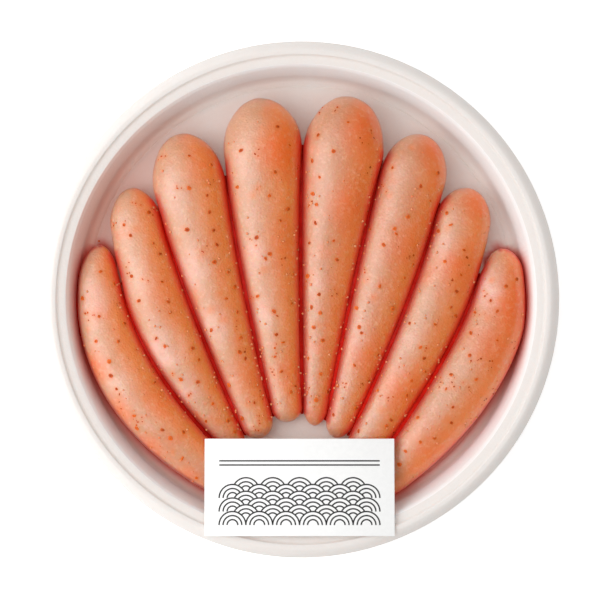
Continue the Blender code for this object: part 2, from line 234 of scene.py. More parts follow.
# A chip of chilli: its sides, how far its top is drawn in, the rings on its crown as shares
# of its radius and how much each rises, where its dark middle ends, and how rough it is
CHIP_SIDES = 7
CHIP_TOP = 0.78
CHIP_INSETS = (0.28, 0.26)
CHIP_RISE = 0.08
CHIP_MIDDLE = (0.3, 0.75)
CHIP_ROUGHNESS = 0.26
CHIP_SEEDS = (3, 5, 8, 13, 21, 34)
# How much a flake's and a speck's tint grow from the middle to the edge
FLAKE_EDGE_TINT = 0.7
SPECK_EDGE_TINT = 0.3

# Specks lie a few together: how far the next one may lie along and round the sac. The
# levels are how far a bottom and a top lie off the skin, in radii.
SPECKS_PER_SAC = 30
SPECKS_TOGETHER = 3
SPECK_ENDS = (0.03, 0.97)
SPECK_SPREAD = math.radians(76)
SPECK_STEP = 0.022
SPECK_TURN = 0.22
SPECK_LEVELS = (-0.6, 0.45)
SPECK_SEED = 211
# One speck lies on the tray beside the sacs
STRAY_PLACE = (-79.5 * MM, 23.0 * MM, FLOOR_TOP)
STRAY_RADIUS = 0.5 * MM

# Pale grains lie along most of a sac, a little denser towards its tail. Every third one
# lies low on a flank, by degrees off the top, and this share of those on the right one.
GRAINS_PER_SAC = 64
GRAIN_START = 0.05
GRAIN_RUN = 0.9
GRAIN_DENSER = 0.8
GRAIN_LOW = (52, 72)
GRAIN_ANYWHERE = (-60, 60)
GRAIN_RIGHT = 0.65
GRAIN_LEVELS = (-0.6, 0.9)
GRAIN_SEED = 89
EGG_ROUGHNESS = 0.12
EGG_SEEDS = (2, 6, 11)

# How far round a flake, and how strongly, its colour has run
STAIN_REACH = 1.3 * MM
STAIN_STRENGTH = 0.65
SMUDGES_PER_SAC = 9
SMUDGE_ENDS = (0.05, 0.95)
SMUDGE_RADIUS = (0.4 * MM, 1.6 * MM)
SMUDGE_SEED = 31

# Marinade fills a groove, and the gap beside the wall, up to where they are this wide. Near the
# heads it fills this part of it, and all of it past these shares of the length. Its deep red also
# stands in for the shade deep in the grooves.
GROOVE_FILL = 1.5 * MM
WALL_FILL = 1.3 * MM
HEAD_FILL = 0.4
FULL_FILL = (0.12, 0.5)
# Between which shares of a sac's length a run of marinade may lie, in how many steps along
# and across, and how high up a flank and how finely its level is looked for
FILL_ENDS = (0.02, 0.98)
FILL_STEPS = 150
FILL_ACROSS = 6
FILL_HIGHEST = 0.45 * math.pi
FILL_HALVINGS = 18
# A run's ends: over how many steps they narrow and dip, to which share of the width and by
# how much. Then its depth, its sag, and how far it reaches into the flanks.
FILL_TAPER = 14
FILL_END_WIDTH = 0.3
FILL_END_DIP = 2.0 * MM
FILL_DEPTH = 1.2 * MM
FILL_SAG = 0.2 * MM
FILL_OVERLAP = 1.2

# How strongly and how far from the sacs they tint the tray, partly a stain of their juice and
# partly a painted reflection of their colour, and the heights between which that ends and the
# wall's lighter, painted-lit colour begins
BLUSH = 0.14
BLUSH_REACH = 24.0 * MM
BLUSH_FADE = (3.0 * MM, 11.0 * MM)
# Painted shade on the left, where the wall is turned from the light, tinted like the roe's
# reflection; it grows with the distance to the left and with Y
LEFT_PAINTED_SHADE = 0.46
LEFT_PAINTED_SHADE_X = (30.0 * MM, 84.0 * MM)
LEFT_PAINTED_SHADE_Y = (-50.0 * MM, 25.0 * MM)
# Where the marinade that has run off the two outer sacs starts to fade and ends, how far out on
# the tray it begins, and the heights between which it ends. Its dark colour is partly that
# marinade and partly painted shade where the outer sacs meet the wall.
RUN_REACH = (-1.0 * MM, 4.5 * MM)
RUN_INNER = 74.0 * MM
RUN_FADE = (6.0 * MM, 17.0 * MM)

# The card in plan, as in the solid, the room round it that holds no chilli, and its bevel
CARD_WIDTH = 73.8 * MM
CARD_FAR_Y = -54.2 * MM
CARD_CENTRE_X = -0.6 * MM
CARD_FREE = 2.0 * MM
CARD_EDGE = 0.12 * MM

# The band of overlapping wave fans printed on the card, and the two rules over it
FAN_RADIUS = 5.2 * MM
FAN_COLUMNS = 6
FAN_ROWS = 6
FAN_ARCS = (1.0, 0.7, 0.4)
FAN_STEPS = 28
FAN_BOTTOM = -14.5 * MM
LINE_WIDTH = 0.55 * MM
RULE_HEIGHTS = (8.6 * MM, 10.2 * MM)
INK_DEPTH = 0.03 * MM
INK_LIFT = 0.01 * MM

# The two soft square lights, the camera's place in plan, and the floor under the tray
KEY_PLACE = (-0.57, -0.08, 0.48)
KEY_SIZE = 0.65
OVERHEAD_PLACE = (-1.0, 0.4, 1.7)
OVERHEAD_SIZE = 2.4
CAMERA_XY = (-0.0004, -0.0002)
STAGE_FLOOR_SIZE = 6.0
STAGE_FLOOR_GLOW = 0.42


def srgb(red, green, blue):
    """The linear colour for a colour given as a screen shows it, 0 to 255."""
    parts = []
    for part in (red, green, blue):
        share = part / 255
        low = share <= 0.04045
        parts.append(share / 12.92 if low else ((share + 0.055) / 1.055) ** 2.4)
    return tuple(parts)


def colour_property(name, description, colour):
    return FloatVectorProperty(
        name=name,
        description=description,
        default=colour,
        subtype="COLOR",
        size=3,
        min=0.0,
        max=1.0,
    )


def length_property(name, description, default):
    return FloatProperty(name=name, description=description, default=default, unit="LENGTH")


class RoeSkinSettings(bpy.types.PropertyGroup):
    # Pale and warm are painted light and shade: pale on the lit left flanks, warm on the shaded
    # right ones
    pale: colour_property("Pale", "Colour of the left flanks", srgb(213, 160, 125))
    shaded_warm: colour_property("Warm", "Colour of the right flanks", srgb(255, 143, 62))
    orange: colour_property("Orange", "Colour of the stained patches", srgb(246, 116, 34))
    # Deep is painted shade on the steep sides, and the deeper tone of some sacs all over
    deep: colour_property("Deep", "Colour of steep sides and deep tones", srgb(190, 78, 30))
    stain: colour_property("Stain", "Colour that has run from a flake", srgb(236, 132, 58))
    fleck: colour_property("Fleck", "Colour of the palest flecks", srgb(252, 206, 176))
    # Milky is partly painted highlight on the left flanks
    milky: colour_property("Milky", "Colour of the milky areas", srgb(244, 200, 186))
    shaded_red: colour_property("Shaded red", "Red of the right flanks", srgb(250, 64, 26))
    lit_red: colour_property("Lit red", "Red of the left flanks", srgb(188, 42, 24))
    roughness: FloatProperty(
        name="Roughness", description="How dull the wet skin is", default=0.54, min=0.0, max=1.0
    )
    lump_height: length_property("Lump height", "How far the skin's lumps stand out", 0.4 * MM)


class ChilliSettings(bpy.types.PropertyGroup):
    red_brown: colour_property("Red-brown", "Colour at a flake's middle", srgb(160, 50, 10))
    orange: colour_property("Orange", "Colour at a flake's edge", srgb(238, 112, 36))
    grain: colour_property("Grain", "Colour of the pale loose grains", srgb(242, 158, 112))


class MarinadeSettings(bpy.types.PropertyGroup):
    red: colour_property("Red", "Colour of the marinade", srgb(216, 36, 25))
    deep: colour_property("Deep red", "Darker colour in it", srgb(188, 26, 17))


class TraySettings(bpy.types.PropertyGroup):
    white: colour_property("White", "Main colour of the tray", srgb(228, 224, 221))
    shade: colour_property("Shade", "Darker colour in the tray's mottling", srgb(228, 222, 218))
    # Wall is painted light: the inside is painted lighter above a low band, which keeps the
    # darker colour near the floor as painted shade
    wall: colour_property("Wall", "Colour of the smooth inner wall", srgb(243, 241, 240))
    # Blush is partly juice stain and partly painted reflection of the roe, and on the left
    # painted shade
    blush: colour_property("Blush", "Colour that the roe leaves on the tray", srgb(214, 154, 134))
    # Run is partly marinade and partly painted shade beside the outer sacs
    run: colour_property("Run", "Colour of marinade run onto the tray", srgb(196, 72, 42))
    segments: IntProperty(
        name="Segments", description="Steps of the tray's turning", default=288, min=32, max=512
    )


class CardSettings(bpy.types.PropertyGroup):
    white: colour_property("White", "Colour of the card", srgb(254, 254, 253))
    ink: colour_property("Ink", "Colour of the print", srgb(30, 28, 28))
    thickness: length_property("Thickness", "Thickness of the card", 0.7 * MM)


class StageSettings(bpy.types.PropertyGroup):
    camera_height: length_property("Camera height", "Height of the camera over the floor", 1.2)
    lens: FloatProperty(
        name="Lens", description="Focal length", default=182.5, unit="CAMERA", min=1.0
    )
    key_power: FloatProperty(
        name="Key power", description="Power of the soft light low on the left", default=2.7
    )
    overhead_power: FloatProperty(
        name="Overhead power", description="Power of the wide light over the left", default=17.0
    )
    fill: FloatProperty(name="Fill", description="Strength of the even light", default=0.57)
    floor: colour_property("Floor", "Colour of the floor", srgb(252, 252, 252))


class RoeTraySettings(bpy.types.PropertyGroup):
    skin: PointerProperty(type=RoeSkinSettings)
    chilli: PointerProperty(type=ChilliSettings)
    marinade: PointerProperty(type=MarinadeSettings)
    tray: PointerProperty(type=TraySettings)
    card: PointerProperty(type=CardSettings)
    stage: PointerProperty(type=StageSettings)


def settings():
    return bpy.context.scene.roe_tray


# Pieces and selection


def start_piece():
    """Leaves nothing selected, so that the next operator acts on its own piece alone."""
    if bpy.context.mode != "OBJECT":
        bpy.ops.object.mode_set(mode="OBJECT")
    bpy.ops.object.select_all(action="DESELECT")


def name_piece(name, material):
    """Names the active object, gives it its finish and lets it ride with the tray."""
    piece = bpy.context.object
    piece.name = name
    piece.data.name = name
    piece.data.materials.clear()
    piece.data.materials.append(material)
    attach(piece, "root")
    return piece


def piece_from(name, points, faces, material):
    """A piece from worked-out points and faces, for what no primitive leads to."""
    start_piece()
    mesh = bpy.data.meshes.new(name)
    mesh.from_pydata(points, [], faces)
    mesh.validate()
    item = bpy.data.objects.new(name, mesh)
    bpy.context.scene.collection.objects.link(item)
    bpy.context.view_layer.objects.active = item
    item.select_set(True)
    return name_piece(name, material)


def apply_modifier(piece, kind, **values):
    modifier = piece.modifiers.new(kind.lower(), kind)
    for name, value in values.items():
        setattr(modifier, name, value)
    bpy.context.view_layer.objects.active = piece
    bpy.ops.object.modifier_apply(modifier=modifier.name)


def face_outwards():
    """Turns the active closed mesh's faces outwards."""
    bpy.ops.object.mode_set(mode="EDIT")
    bpy.ops.mesh.select_all(action="SELECT")
    bpy.ops.mesh.normals_make_consistent(inside=False)
    bpy.ops.object.mode_set(mode="OBJECT")


def smooth_shading(degrees):
    bpy.ops.object.shade_smooth_by_angle(angle=math.radians(degrees))


def coordinates(mesh):
    flat = np.empty(len(mesh.vertices) * 3)
    mesh.vertices.foreach_get("co", flat)
    return flat.reshape(-1, 3)


def set_coordinates(mesh, points):
    mesh.vertices.foreach_set("co", points.astype(np.float32).ravel())
    mesh.update()


def normals(mesh):
    flat = np.empty(len(mesh.vertices) * 3)
    mesh.vertex_normals.foreach_get("vector", flat)
    return flat.reshape(-1, 3)


def store(mesh, name, values):
    """Keeps one number for each vertex, which a material reads by its name."""
    attribute = mesh.attributes.new(name, "FLOAT", "POINT")
    attribute.data.foreach_set("value", values.astype(np.float32))


def ramp(values, low, high):
    """0 at low, 1 at high, with a smooth turn at each."""
    share = np.clip((values - low) / (high - low), 0.0, 1.0)
    return share * share * (3 - 2 * share)


def scaled(values, factor):
    return tuple(factor * value for value in values)


# The tray's and the sacs' forms


def ledge_height(radius):
    share = (LEDGE_RADIUS - radius) / (LEDGE_RADIUS - LIP_RADIUS)
    return TRAY_HEIGHT - LEDGE_DROP - LEDGE_FALL * share


def corner_point(turn):
    """A point on the rounded corner between the floor and the wall, from 0 to a half pi."""
    radius = FLOOR_RADIUS + CORNER_WIDTH * math.sin(turn)
    return radius, FLOOR_TOP + CORNER_HEIGHT * (1 - math.cos(turn))


def wall_radius(height):
    """The inner side's radius at heights between the floor and the lip."""
    rise = np.clip((height - FLOOR_TOP) / CORNER_HEIGHT, 0.0, 1.0)
    foot_radius, foot = corner_point(0.5 * math.pi)
    in_corner = FLOOR_RADIUS + CORNER_WIDTH * np.sin(np.arccos(1 - rise))
    share = np.maximum(height - foot, 0.0) / (ledge_height(LIP_RADIUS) - foot)
    return in_corner + (LIP_RADIUS - foot_radius) * share


def floor_profile():
    """The floor from the axis to the corner, with the crease near its edge."""
    crease = FLOOR_RADIUS - 0.5 * CREASE_WIDTH
    first = crease - 0.5 * CREASE_WIDTH
    half_bottom = 0.2 * CREASE_WIDTH
    outer_depth = 0.6 * CREASE_DEPTH
    floor = [(first * step / FLOOR_RINGS, FLOOR_TOP) for step in range(FLOOR_RINGS + 1)]
    floor.append((crease - half_bottom, FLOOR_TOP - CREASE_DEPTH))
    floor.append((crease + half_bottom, FLOOR_TOP - outer_depth))
    return floor


def tray_profile():
    """The tray's cut edge from the axis along the inside, over the rim and back underneath."""
    roll_width = TRAY_RADIUS - CREST_RADIUS
    lip_z = ledge_height(LIP_RADIUS)
    ledge_z = ledge_height(LEDGE_RADIUS)
    inside = floor_profile()
    for step in range(CORNER_STEPS + 1):
        inside.append(corner_point(0.5 * math.pi * step / CORNER_STEPS))
    inside += [
        (float(wall_radius(lip_z - LIP_BEND[1])), lip_z - LIP_BEND[1]),
        (LIP_RADIUS + LIP_BEND[0], lip_z),
        (LEDGE_RADIUS, ledge_z),
        (LEDGE_RADIUS + LEDGE_BEND[0], ledge_z + LEDGE_BEND[1]),
        (CREST_RADIUS - CREST_BEND[0], TRAY_HEIGHT - CREST_BEND[1]),
    ]
    roll = []
    for step in range(ROLL_STEPS + 1):
        angle = 0.5 * math.pi * step / ROLL_STEPS
        x = CREST_RADIUS + roll_width * math.sin(angle) ** (2 / ROLL_ROUNDNESS)
        z = TRAY_HEIGHT - roll_width * (1 - math.cos(angle) ** (2 / ROLL_ROUNDNESS))
        roll.append((x, z))
    skirt_z = TRAY_HEIGHT - SKIRT_DEPTH
    foot_radius, foot = corner_point(0.5 * math.pi)
    outside = [
        (TRAY_RADIUS, skirt_z),
        (TRAY_RADIUS - WALL_THICKNESS, skirt_z),
        (TRAY_RADIUS - WALL_THICKNESS, TRAY_HEIGHT - roll_width),
        (CREST_RADIUS, TRAY_HEIGHT - WALL_THICKNESS),
        (LEDGE_RADIUS + LEDGE_BEND[0], ledge_z - WALL_THICKNESS),
        (LIP_RADIUS + WALL_THICKNESS, lip_z - WALL_THICKNESS),
        (foot_radius + WALL_THICKNESS, foot),
        (foot_radius + 0.5 * WALL_THICKNESS, FOOT_BEND_HEIGHT),
        (FLOOR_RADIUS + WALL_THICKNESS, FOOT_BEVEL_HEIGHT),
        (FLOOR_RADIUS, 0.0),
        (0.0, 0.0),
    ]
    return inside + roll + outside


class SacLine:
    """A sac's centre line in plan, and how wide it is along it. Shares are arrays."""

    def __init__(self, sac):
        self.sac = sac
        self.head = np.array(sac.head) * MM
        self.tail = np.array(sac.tail) * MM
        chord = self.tail - self.head
        side = np.array((-chord[1], chord[0])) / np.linalg.norm(chord)
        self.middle = self.head + chord * sac.lean + side * (2 * sac.bow * MM)
        self.steps = np.linspace(0.0, 1.0, LINE_STEPS + 1)
        self.points = self.on_curve(self.steps)
        legs = np.diff(self.points, axis=0)
        self.along = np.concatenate(([0.0], np.cumsum(np.linalg.norm(legs, axis=1))))
        self.length = self.along[-1]

    def on_curve(self, t):
        t = t[:, None]
        bent = self.middle * (2 * t * (1 - t))
        return self.head * (1 - t) ** 2 + bent + self.tail * t**2

    def place(self, share):
        """The points at shares of the length, and the directions towards the tail."""
        t = np.interp(np.clip(share, 0.0, 1.0) * self.length, self.along, self.steps)
        slope = (self.middle - self.head) * (1 - t)[:, None]
        slope += (self.tail - self.middle) * t[:, None]
        return self.on_curve(t), slope / np.linalg.norm(slope, axis=1)[:, None]

    def full_width(self, share):
        """Half the width before the ends round it off."""
        sizes = (self.sac.head_width, self.sac.middle_width, self.sac.tail_width)
        width = np.zeros_like(share)
        for own, size in enumerate(sizes):
            weight = np.ones_like(share)
            for other in range(3):
                if other != own:
                    weight *= share - WIDEST_AT[other]
                    weight /= WIDEST_AT[own] - WIDEST_AT[other]
            width += size * weight
        swell = sizes[0] + (width - sizes[0]) * HEAD_SWELL
        return 0.5 * MM * np.where(share < WIDEST_AT[0], swell, width)

    def end_rounding(self, share):
        """1 along the middle, falling to 0 at both ends as on an ellipse."""
        head_length = 0.5 * self.sac.head_width * self.sac.head_round * MM
        tail_length = 0.5 * self.sac.tail_width * self.sac.tail_round * MM
        from_head = np.clip(1 - share * self.length / head_length, 0.0, 1.0)
        from_tail = np.clip(1 - (1 - share) * self.length / tail_length, 0.0, 1.0)
        return np.sqrt((1 - from_head**2) * (1 - from_tail**2))

    def nearest(self, points):
        """The distances from points to the centre line, and the shares where it is nearest."""
        legs = np.diff(self.points, axis=0)
        offset = points[:, None, :] - self.points[None, :-1]
        part = np.clip((offset * legs).sum(2) / (legs**2).sum(1), 0.0, 1.0)
        distance = np.linalg.norm(offset - legs[None] * part[..., None], axis=2)
        found = distance.argmin(1)
        rows = np.arange(len(points))
        lengths = np.diff(self.along)
        share = (self.along[found] + lengths[found] * part[rows, found]) / self.length
        return distance[rows, found], share

    def outline_distance(self, points):
        """How far points in plan lie outside the sac's flanks."""
        distance, share = self.nearest(points)
        return distance - self.full_width(share) * self.end_rounding(share)


class SacSkin:
    """One sac's skin: a point for each share of its length and each angle round it."""

    def __init__(self, lines, index):
        self.line = lines[index]
        self.shares = np.linspace(0.0, 1.0, ROOM_STEPS + 1)
        self.room = {side: self.room_beside(lines, index, side) for side in (-1, 1)}

    def room_beside(self, lines, index, side):
        """The part of its half width that a flank keeps beside its neighbour and the wall."""
        share = self.shares
        centre, direction = self.line.place(share)
        outwards = np.stack((-direction[:, 1], direction[:, 0]), axis=1) * side
        own = self.line.full_width(share) * self.line.end_rounding(share)
        kept = np.ones_like(own)
        neighbour = index + side
        if 0 <= neighbour < len(lines):
            other = lines[neighbour]
            distance, other_share = other.nearest(centre + outwards * own[:, None])
            theirs = other.full_width(other_share) * other.end_rounding(other_share)
            room = (other.nearest(centre)[0] - GAP) / np.maximum(own + theirs, GAP)
            kept = np.where(distance < theirs + GAP, np.minimum(room, 1.0), 1.0)
        belly = FLOOR_TOP + GAP + BELLY_SHARE * HEIGHT_SHARE * 2 * own
        limit = wall_radius(belly) - WALL_CLEARANCE
        across = (centre * outwards).sum(1)
        under_root = np.maximum(across**2 - (centre**2).sum(1) + limit**2, 0.0)
        reach = np.sqrt(under_root) - across
        kept = np.minimum(kept, np.clip(reach / np.maximum(own, GAP), 0.0, 1.0))
        padded = np.pad(kept, ROOM_SMOOTHING, mode="edge")
        window = np.ones(2 * ROOM_SMOOTHING + 1) / (2 * ROOM_SMOOTHING + 1)
        return np.minimum(np.convolve(padded, window, mode="valid"), 1.0)

    def points(self, share, angle):
        """The angle runs from the +side flank, over the top, to the -side flank."""
        centre, direction = self.line.place(share)
        outwards = np.stack((-direction[:, 1], direction[:, 0]), axis=1)
        rounding = self.line.end_rounding(share)
        half = self.line.full_width(share)
        right = np.interp(share, self.shares, self.room[1])
        left = np.interp(share, self.shares, self.room[-1])
        width = half * rounding * np.where(np.cos(angle) >= 0, right, left)
        height = 2 * half * HEIGHT_SHARE
        over = np.sin(angle) >= 0
        roundness = np.where(over, UPPER_ROUNDNESS, LOWER_ROUNDNESS)
        reach = np.where(over, 1 - BELLY_SHARE, BELLY_SHARE) * height * rounding
        plan = centre + outwards * (width * rounded(np.cos(angle), roundness))[:, None]
        z = FLOOR_TOP + GAP + BELLY_SHARE * height + reach * rounded(np.sin(angle), roundness)
        return np.column_stack((plan, z))


def rounded(value, roundness):
    return np.copysign(np.abs(value) ** (2 / roundness), value)


def sac_skins():
    lines = [SacLine(sac) for sac in SACS_MM]
    return [SacSkin(lines, index) for index in range(len(lines))]


def groove_sides(skins, index, side, share, angle):
    """Points on a sac's flank, and the points across the groove from them.

    The angle is how far up the flank they lie. Across is the neighbour, or else the wall.
    """
    own_angle = angle if side > 0 else math.pi - angle
    own = skins[index].points(share, own_angle)
    if 0 <= index + side < len(skins):
        other = skins[index + side]
        other_share = other.line.nearest(own[:, :2])[1]
        return own, other.points(other_share, math.pi - own_angle)
    reach = wall_radius(own[:, 2]) / np.linalg.norm(own[:, :2], axis=1)
    return own, np.column_stack((own[:, :2] * reach[:, None], own[:, 2]))


def groove_width(skins, index, side, share, angle):
    own, across = groove_sides(skins, index, side, share, angle)
    return np.linalg.norm((across - own)[:, :2], axis=1)


# A short way to write materials and shader groups


class ShaderTree:
    """A node tree with short ways to add its nodes and join them."""

    def __init__(self, tree):
        self.nodes = tree.nodes
        self.link = tree.links.new

    def feed(self, value, socket):
        if isinstance(value, bpy.types.NodeSocket):
            self.link(value, socket)
        elif socket.type == "RGBA":
            socket.default_value = (*value, 1.0)
        else:
            socket.default_value = value

    def fill(self, node, **inputs):
        """Joins or sets some of a node's inputs, whose labels are given with _ for a space."""
        for label, value in inputs.items():
            self.feed(value, node.inputs[label.replace("_", " ")])
        return node

    def add(self, kind, **inputs):
        return self.fill(self.nodes.new("ShaderNode" + kind), **inputs)

    def maths(self, operation, first, second):
        node = self.add("Math")
        node.operation = operation
        self.feed(first, node.inputs[0])
        self.feed(second, node.inputs[1])
        return node.outputs[0]

    def smooth_ramp(self, value, low, high):
        """0 at low, 1 at high, with a smooth turn at each."""
        node = self.add("MapRange")
        node.interpolation_type = "SMOOTHSTEP"
        return self.fill(node, Value=value, From_Min=low, From_Max=high).outputs["Result"]


class Group(ShaderTree):
    """A shader group being put together, with its vector, its given numbers and its results."""

    def __init__(self, name, numbers, results):
        self.tree = bpy.data.node_groups.new(name, "ShaderNodeTree")
        super().__init__(self.tree)
        socket = self.tree.interface.new_socket
        socket("Vector", in_out="INPUT", socket_type="NodeSocketVector")
        for label, value in numbers.items():
            number = socket(label, in_out="INPUT", socket_type="NodeSocketFloat")
            number.default_value = value
        for label in results:
            socket(label, in_out="OUTPUT", socket_type="NodeSocketFloat")
        self.given = self.nodes.new("NodeGroupInput").outputs
        self.results = self.nodes.new("NodeGroupOutput")


def mottle_group():
    """Soft uneven blotches of a given size in metres. Spread sets how hard their edges are."""
    group = Group("Mottle", {"Size": 0.01, "Spread": 0.2, "Middle": 0.5}, ("Mask",))
    given = group.given
    per_metre = group.maths("DIVIDE", 1.0, given["Size"])
    texture = group.add("TexNoise", Vector=given["Vector"], Scale=per_metre)
    group.fill(texture, Detail=3.0, Roughness=0.55)
    low = group.maths("SUBTRACT", given["Middle"], given["Spread"])
    high = group.maths("ADD", given["Middle"], given["Spread"])
    group.fill(group.results, Mask=group.smooth_ramp(texture.outputs["Fac"], low, high))
    return group.tree


def grain_group():
    """Round grains of a given size in metres: how high the surface is, and each grain's tone."""
    group = Group("Grain", {"Size": 0.001}, ("Height", "Tone"))
    per_metre = group.maths("DIVIDE", 1.0, group.given["Size"])
    cells = group.add("TexVoronoi")
    cells.feature = "SMOOTH_F1"
    group.fill(cells, Vector=group.given["Vector"], Scale=per_metre, Smoothness=0.35)
    height = group.smooth_ramp(cells.outputs["Distance"], 0.62, 0.1)
    tone = group.add("SeparateColor", Color=cells.outputs["Color"]).outputs["Red"]
    group.fill(group.results, Height=height, Tone=tone)
    return group.tree


class Finish(ShaderTree):
    """A material being put together round its shader."""

    def __init__(self, name, roughness, **shader_values):
        self.material = bpy.data.materials.new(name)
        self.material.use_nodes = True
        super().__init__(self.material.node_tree)
        self.shader = self.nodes["Principled BSDF"]
        self.fill(self.shader, Roughness=roughness, **shader_values)
        self.place = self.add("TexCoord").outputs["Object"]

    def grouped(self, name, make, **inputs):
        """The results of a shared group, which is made when it is first used."""
        node = self.add("Group")
        node.node_tree = bpy.data.node_groups.get(name) or make()
        return self.fill(node, Vector=self.place, **inputs).outputs

    def mottle(self, size, spread=0.2, middle=0.5):
        found = self.grouped("Mottle", mottle_group, Size=size, Spread=spread, Middle=middle)
        return found["Mask"]

    def grain(self, size):
        found = self.grouped("Grain", grain_group, Size=size)
        return found["Height"], found["Tone"]

    def kept(self, name):
        """A number that the mesh keeps for each of its vertices."""
        node = self.add("Attribute")
        node.attribute_name = name
        return node.outputs["Fac"]

    def blend(self, share, first, second):
        """A colour between two, by a share from 0 to 1."""
        node = self.add("Mix")
        node.data_type = "RGBA"
        # Its colours share their labels with its numbers, so they go by their places
        self.feed(share, node.inputs[0])
        self.feed(first, node.inputs[6])
        self.feed(second, node.inputs[7])
        return node.outputs[2]

    def between(self, share, low, high):
        """A number between two, by a share from 0 to 1."""
        return self.add("MapRange", Value=share, To_Min=low, To_Max=high).outputs["Result"]

    def relief(self, *heights):
        """Bumps one over another: each is a height from 0 to 1 and how deep it is in metres."""
        normal = None
        for height, depth in heights:
            bump = self.add("Bump", Strength=1.0, Distance=depth, Height=height)
            if normal:
                self.fill(bump, Normal=normal)
            normal = bump.outputs["Normal"]
        self.fill(self.shader, Normal=normal)

    def colour(self, value):
        self.fill(self.shader, Base_Color=value)


def skin_finish():
    """Moist see-through membrane over roe: salmon, with orange blotches and red grooves."""
    skin = settings().skin
    finish = Finish(
        "roe skin",
        skin.roughness,
        Subsurface_Weight=1.0,
        Subsurface_Scale=0.006,
        Subsurface_Radius=(1.0, 0.28, 0.14),
        IOR=1.6,
        Specular_IOR_Level=1.0,
        Coat_Weight=1.0,
        # The emission paints a faint red glow in the grooves
        Emission_Strength=0.05,
        Coat_Roughness=0.33,
    )
    eggs, egg_tone = finish.grain(1.0 * MM)
    # Painted light and shade across each sac: pale on the lit left flank, warm on the shaded
    # right one
    body = finish.blend(finish.kept("flank"), skin.pale, skin.shaded_warm)
    body = finish.blend(finish.maths("MULTIPLY", egg_tone, 0.1), body, skin.orange)
    blotch = finish.maths("MULTIPLY", finish.mottle(15 * MM, spread=0.1, middle=0.62), 0.35)
    patch = finish.maths("MAXIMUM", blotch, finish.kept("patch"))
    body = finish.blend(patch, body, skin.orange)
    # Painted shade on the steep sides, with the deeper tone of some sacs
    body = finish.blend(finish.kept("shade"), body, skin.deep)
    # Milky areas: partly the membrane's milkiness, partly painted highlight where the light falls
    cloud = finish.mottle(9 * MM, spread=0.25, middle=0.42)
    body = finish.blend(finish.maths("MULTIPLY", finish.kept("painted_milky_highlight"), cloud), body, skin.milky)
    fleck = finish.maths("MULTIPLY", finish.mottle(1.5 * MM, spread=0.13, middle=0.61), 0.28)
    body = finish.blend(fleck, body, skin.fleck)
    body = finish.blend(finish.kept("stain"), body, skin.stain)
    # The grooves' red: partly marinade, partly painted shade, in lit and shaded reds
    crevice_red_and_shade = finish.kept("crevice_red_and_shade")
    red = finish.blend(finish.kept("flank"), skin.lit_red, skin.shaded_red)
    finish.colour(finish.blend(crevice_red_and_shade, body, red))
    # A painted glow of the grooves' red, as if light came through from the neighbouring sacs
    painted_groove_glow = finish.blend(crevice_red_and_shade, (0.0, 0.0, 0.0), red)
    shine = finish.between(finish.mottle(5 * MM), skin.roughness - 0.05, skin.roughness + 0.05)
    finish.fill(finish.shader, Emission_Color=painted_groove_glow, Roughness=shine)
    soft, fine = finish.mottle(4 * MM, spread=0.3), finish.mottle(0.7 * MM, spread=0.3)
    finish.relief((soft, 0.12 * MM), (eggs, 0.07 * MM), (fine, 0.05 * MM))
    return finish.material


def flake_finish():
    """Dried chilli, wet with marinade: dark in a flake's middle and orange at its edge."""
    chilli = settings().chilli
    finish = Finish("chilli flake", 0.4, Specular_IOR_Level=0.25)
    finish.colour(finish.blend(finish.kept("tint"), chilli.red_brown, chilli.orange))
    finish.relief((finish.mottle(0.4 * MM), 0.05 * MM))
    return finish.material


def grain_finish():
    """Loose roe and spice grains: pale, moist and a little see-through."""
    chilli = settings().chilli
    finish = Finish("pale grain", 0.4, Subsurface_Weight=0.5, Subsurface_Scale=0.001)
    finish.colour(finish.blend(finish.kept("tint"), chilli.grain, settings().skin.orange))
    finish.relief((finish.mottle(0.3 * MM), 0.03 * MM))
    return finish.material


def marinade_finish():
    """Deep red liquid that lets some light through."""
    marinade = settings().marinade
    finish = Finish(
        "red marinade",
        0.35,
        Subsurface_Weight=0.6,
        Subsurface_Scale=0.003,
        Subsurface_Radius=(1.0, 0.1, 0.05),
        Specular_IOR_Level=0.05,
    )
    # The marinade's deep red also stands in for the shade in the grooves
    finish.colour(finish.blend(finish.mottle(6 * MM), marinade.red, marinade.deep))
    finish.relief((finish.mottle(2.5 * MM, spread=0.25), 0.05 * MM))
    return finish.material


def tray_finish():
    """Matte white moulded plastic, finely mottled, with painted light and shade: a lighter inside
    wall, a pink tint near the roe that is partly stain and partly painted reflection, and painted
    shade on the left.
    """
    tray = settings().tray
    finish = Finish(
        "tray board",
        0.6,
        Subsurface_Weight=0.7,
        Subsurface_Scale=0.004,
        Subsurface_Radius=(1.0, 0.85, 0.8),
    )
    board = finish.blend(finish.mottle(1.0 * MM, spread=0.22), tray.white, tray.shade)
    cloud = finish.maths("MULTIPLY", finish.mottle(16 * MM, spread=0.25), 0.4)
    board = finish.blend(cloud, board, tray.shade)
    # Painted light: lighter inside above the low band by the floor
    board = finish.blend(finish.kept("wall"), board, tray.wall)
    # The pink tint: partly stain, partly painted reflection of the roe, with painted shade on the
    # left
    board = finish.blend(finish.kept("blush"), board, tray.blush)
    # The run: partly marinade, partly painted shade beside the outer sacs
    finish.colour(finish.blend(finish.kept("run"), board, tray.run))
    finish.relief((finish.mottle(1.2 * MM, spread=0.3), 0.05 * MM))
    return finish.material


def paper_finish():
    """Uncoated white card, with a trace of cloudiness."""
    white = settings().card.white
    finish = Finish("white card", 0.7)
    finish.colour(finish.blend(finish.mottle(2 * MM, spread=0.3), white, scaled(white, 0.96)))
    finish.relief((finish.mottle(0.3 * MM, spread=0.3), 0.01 * MM))
    return finish.material


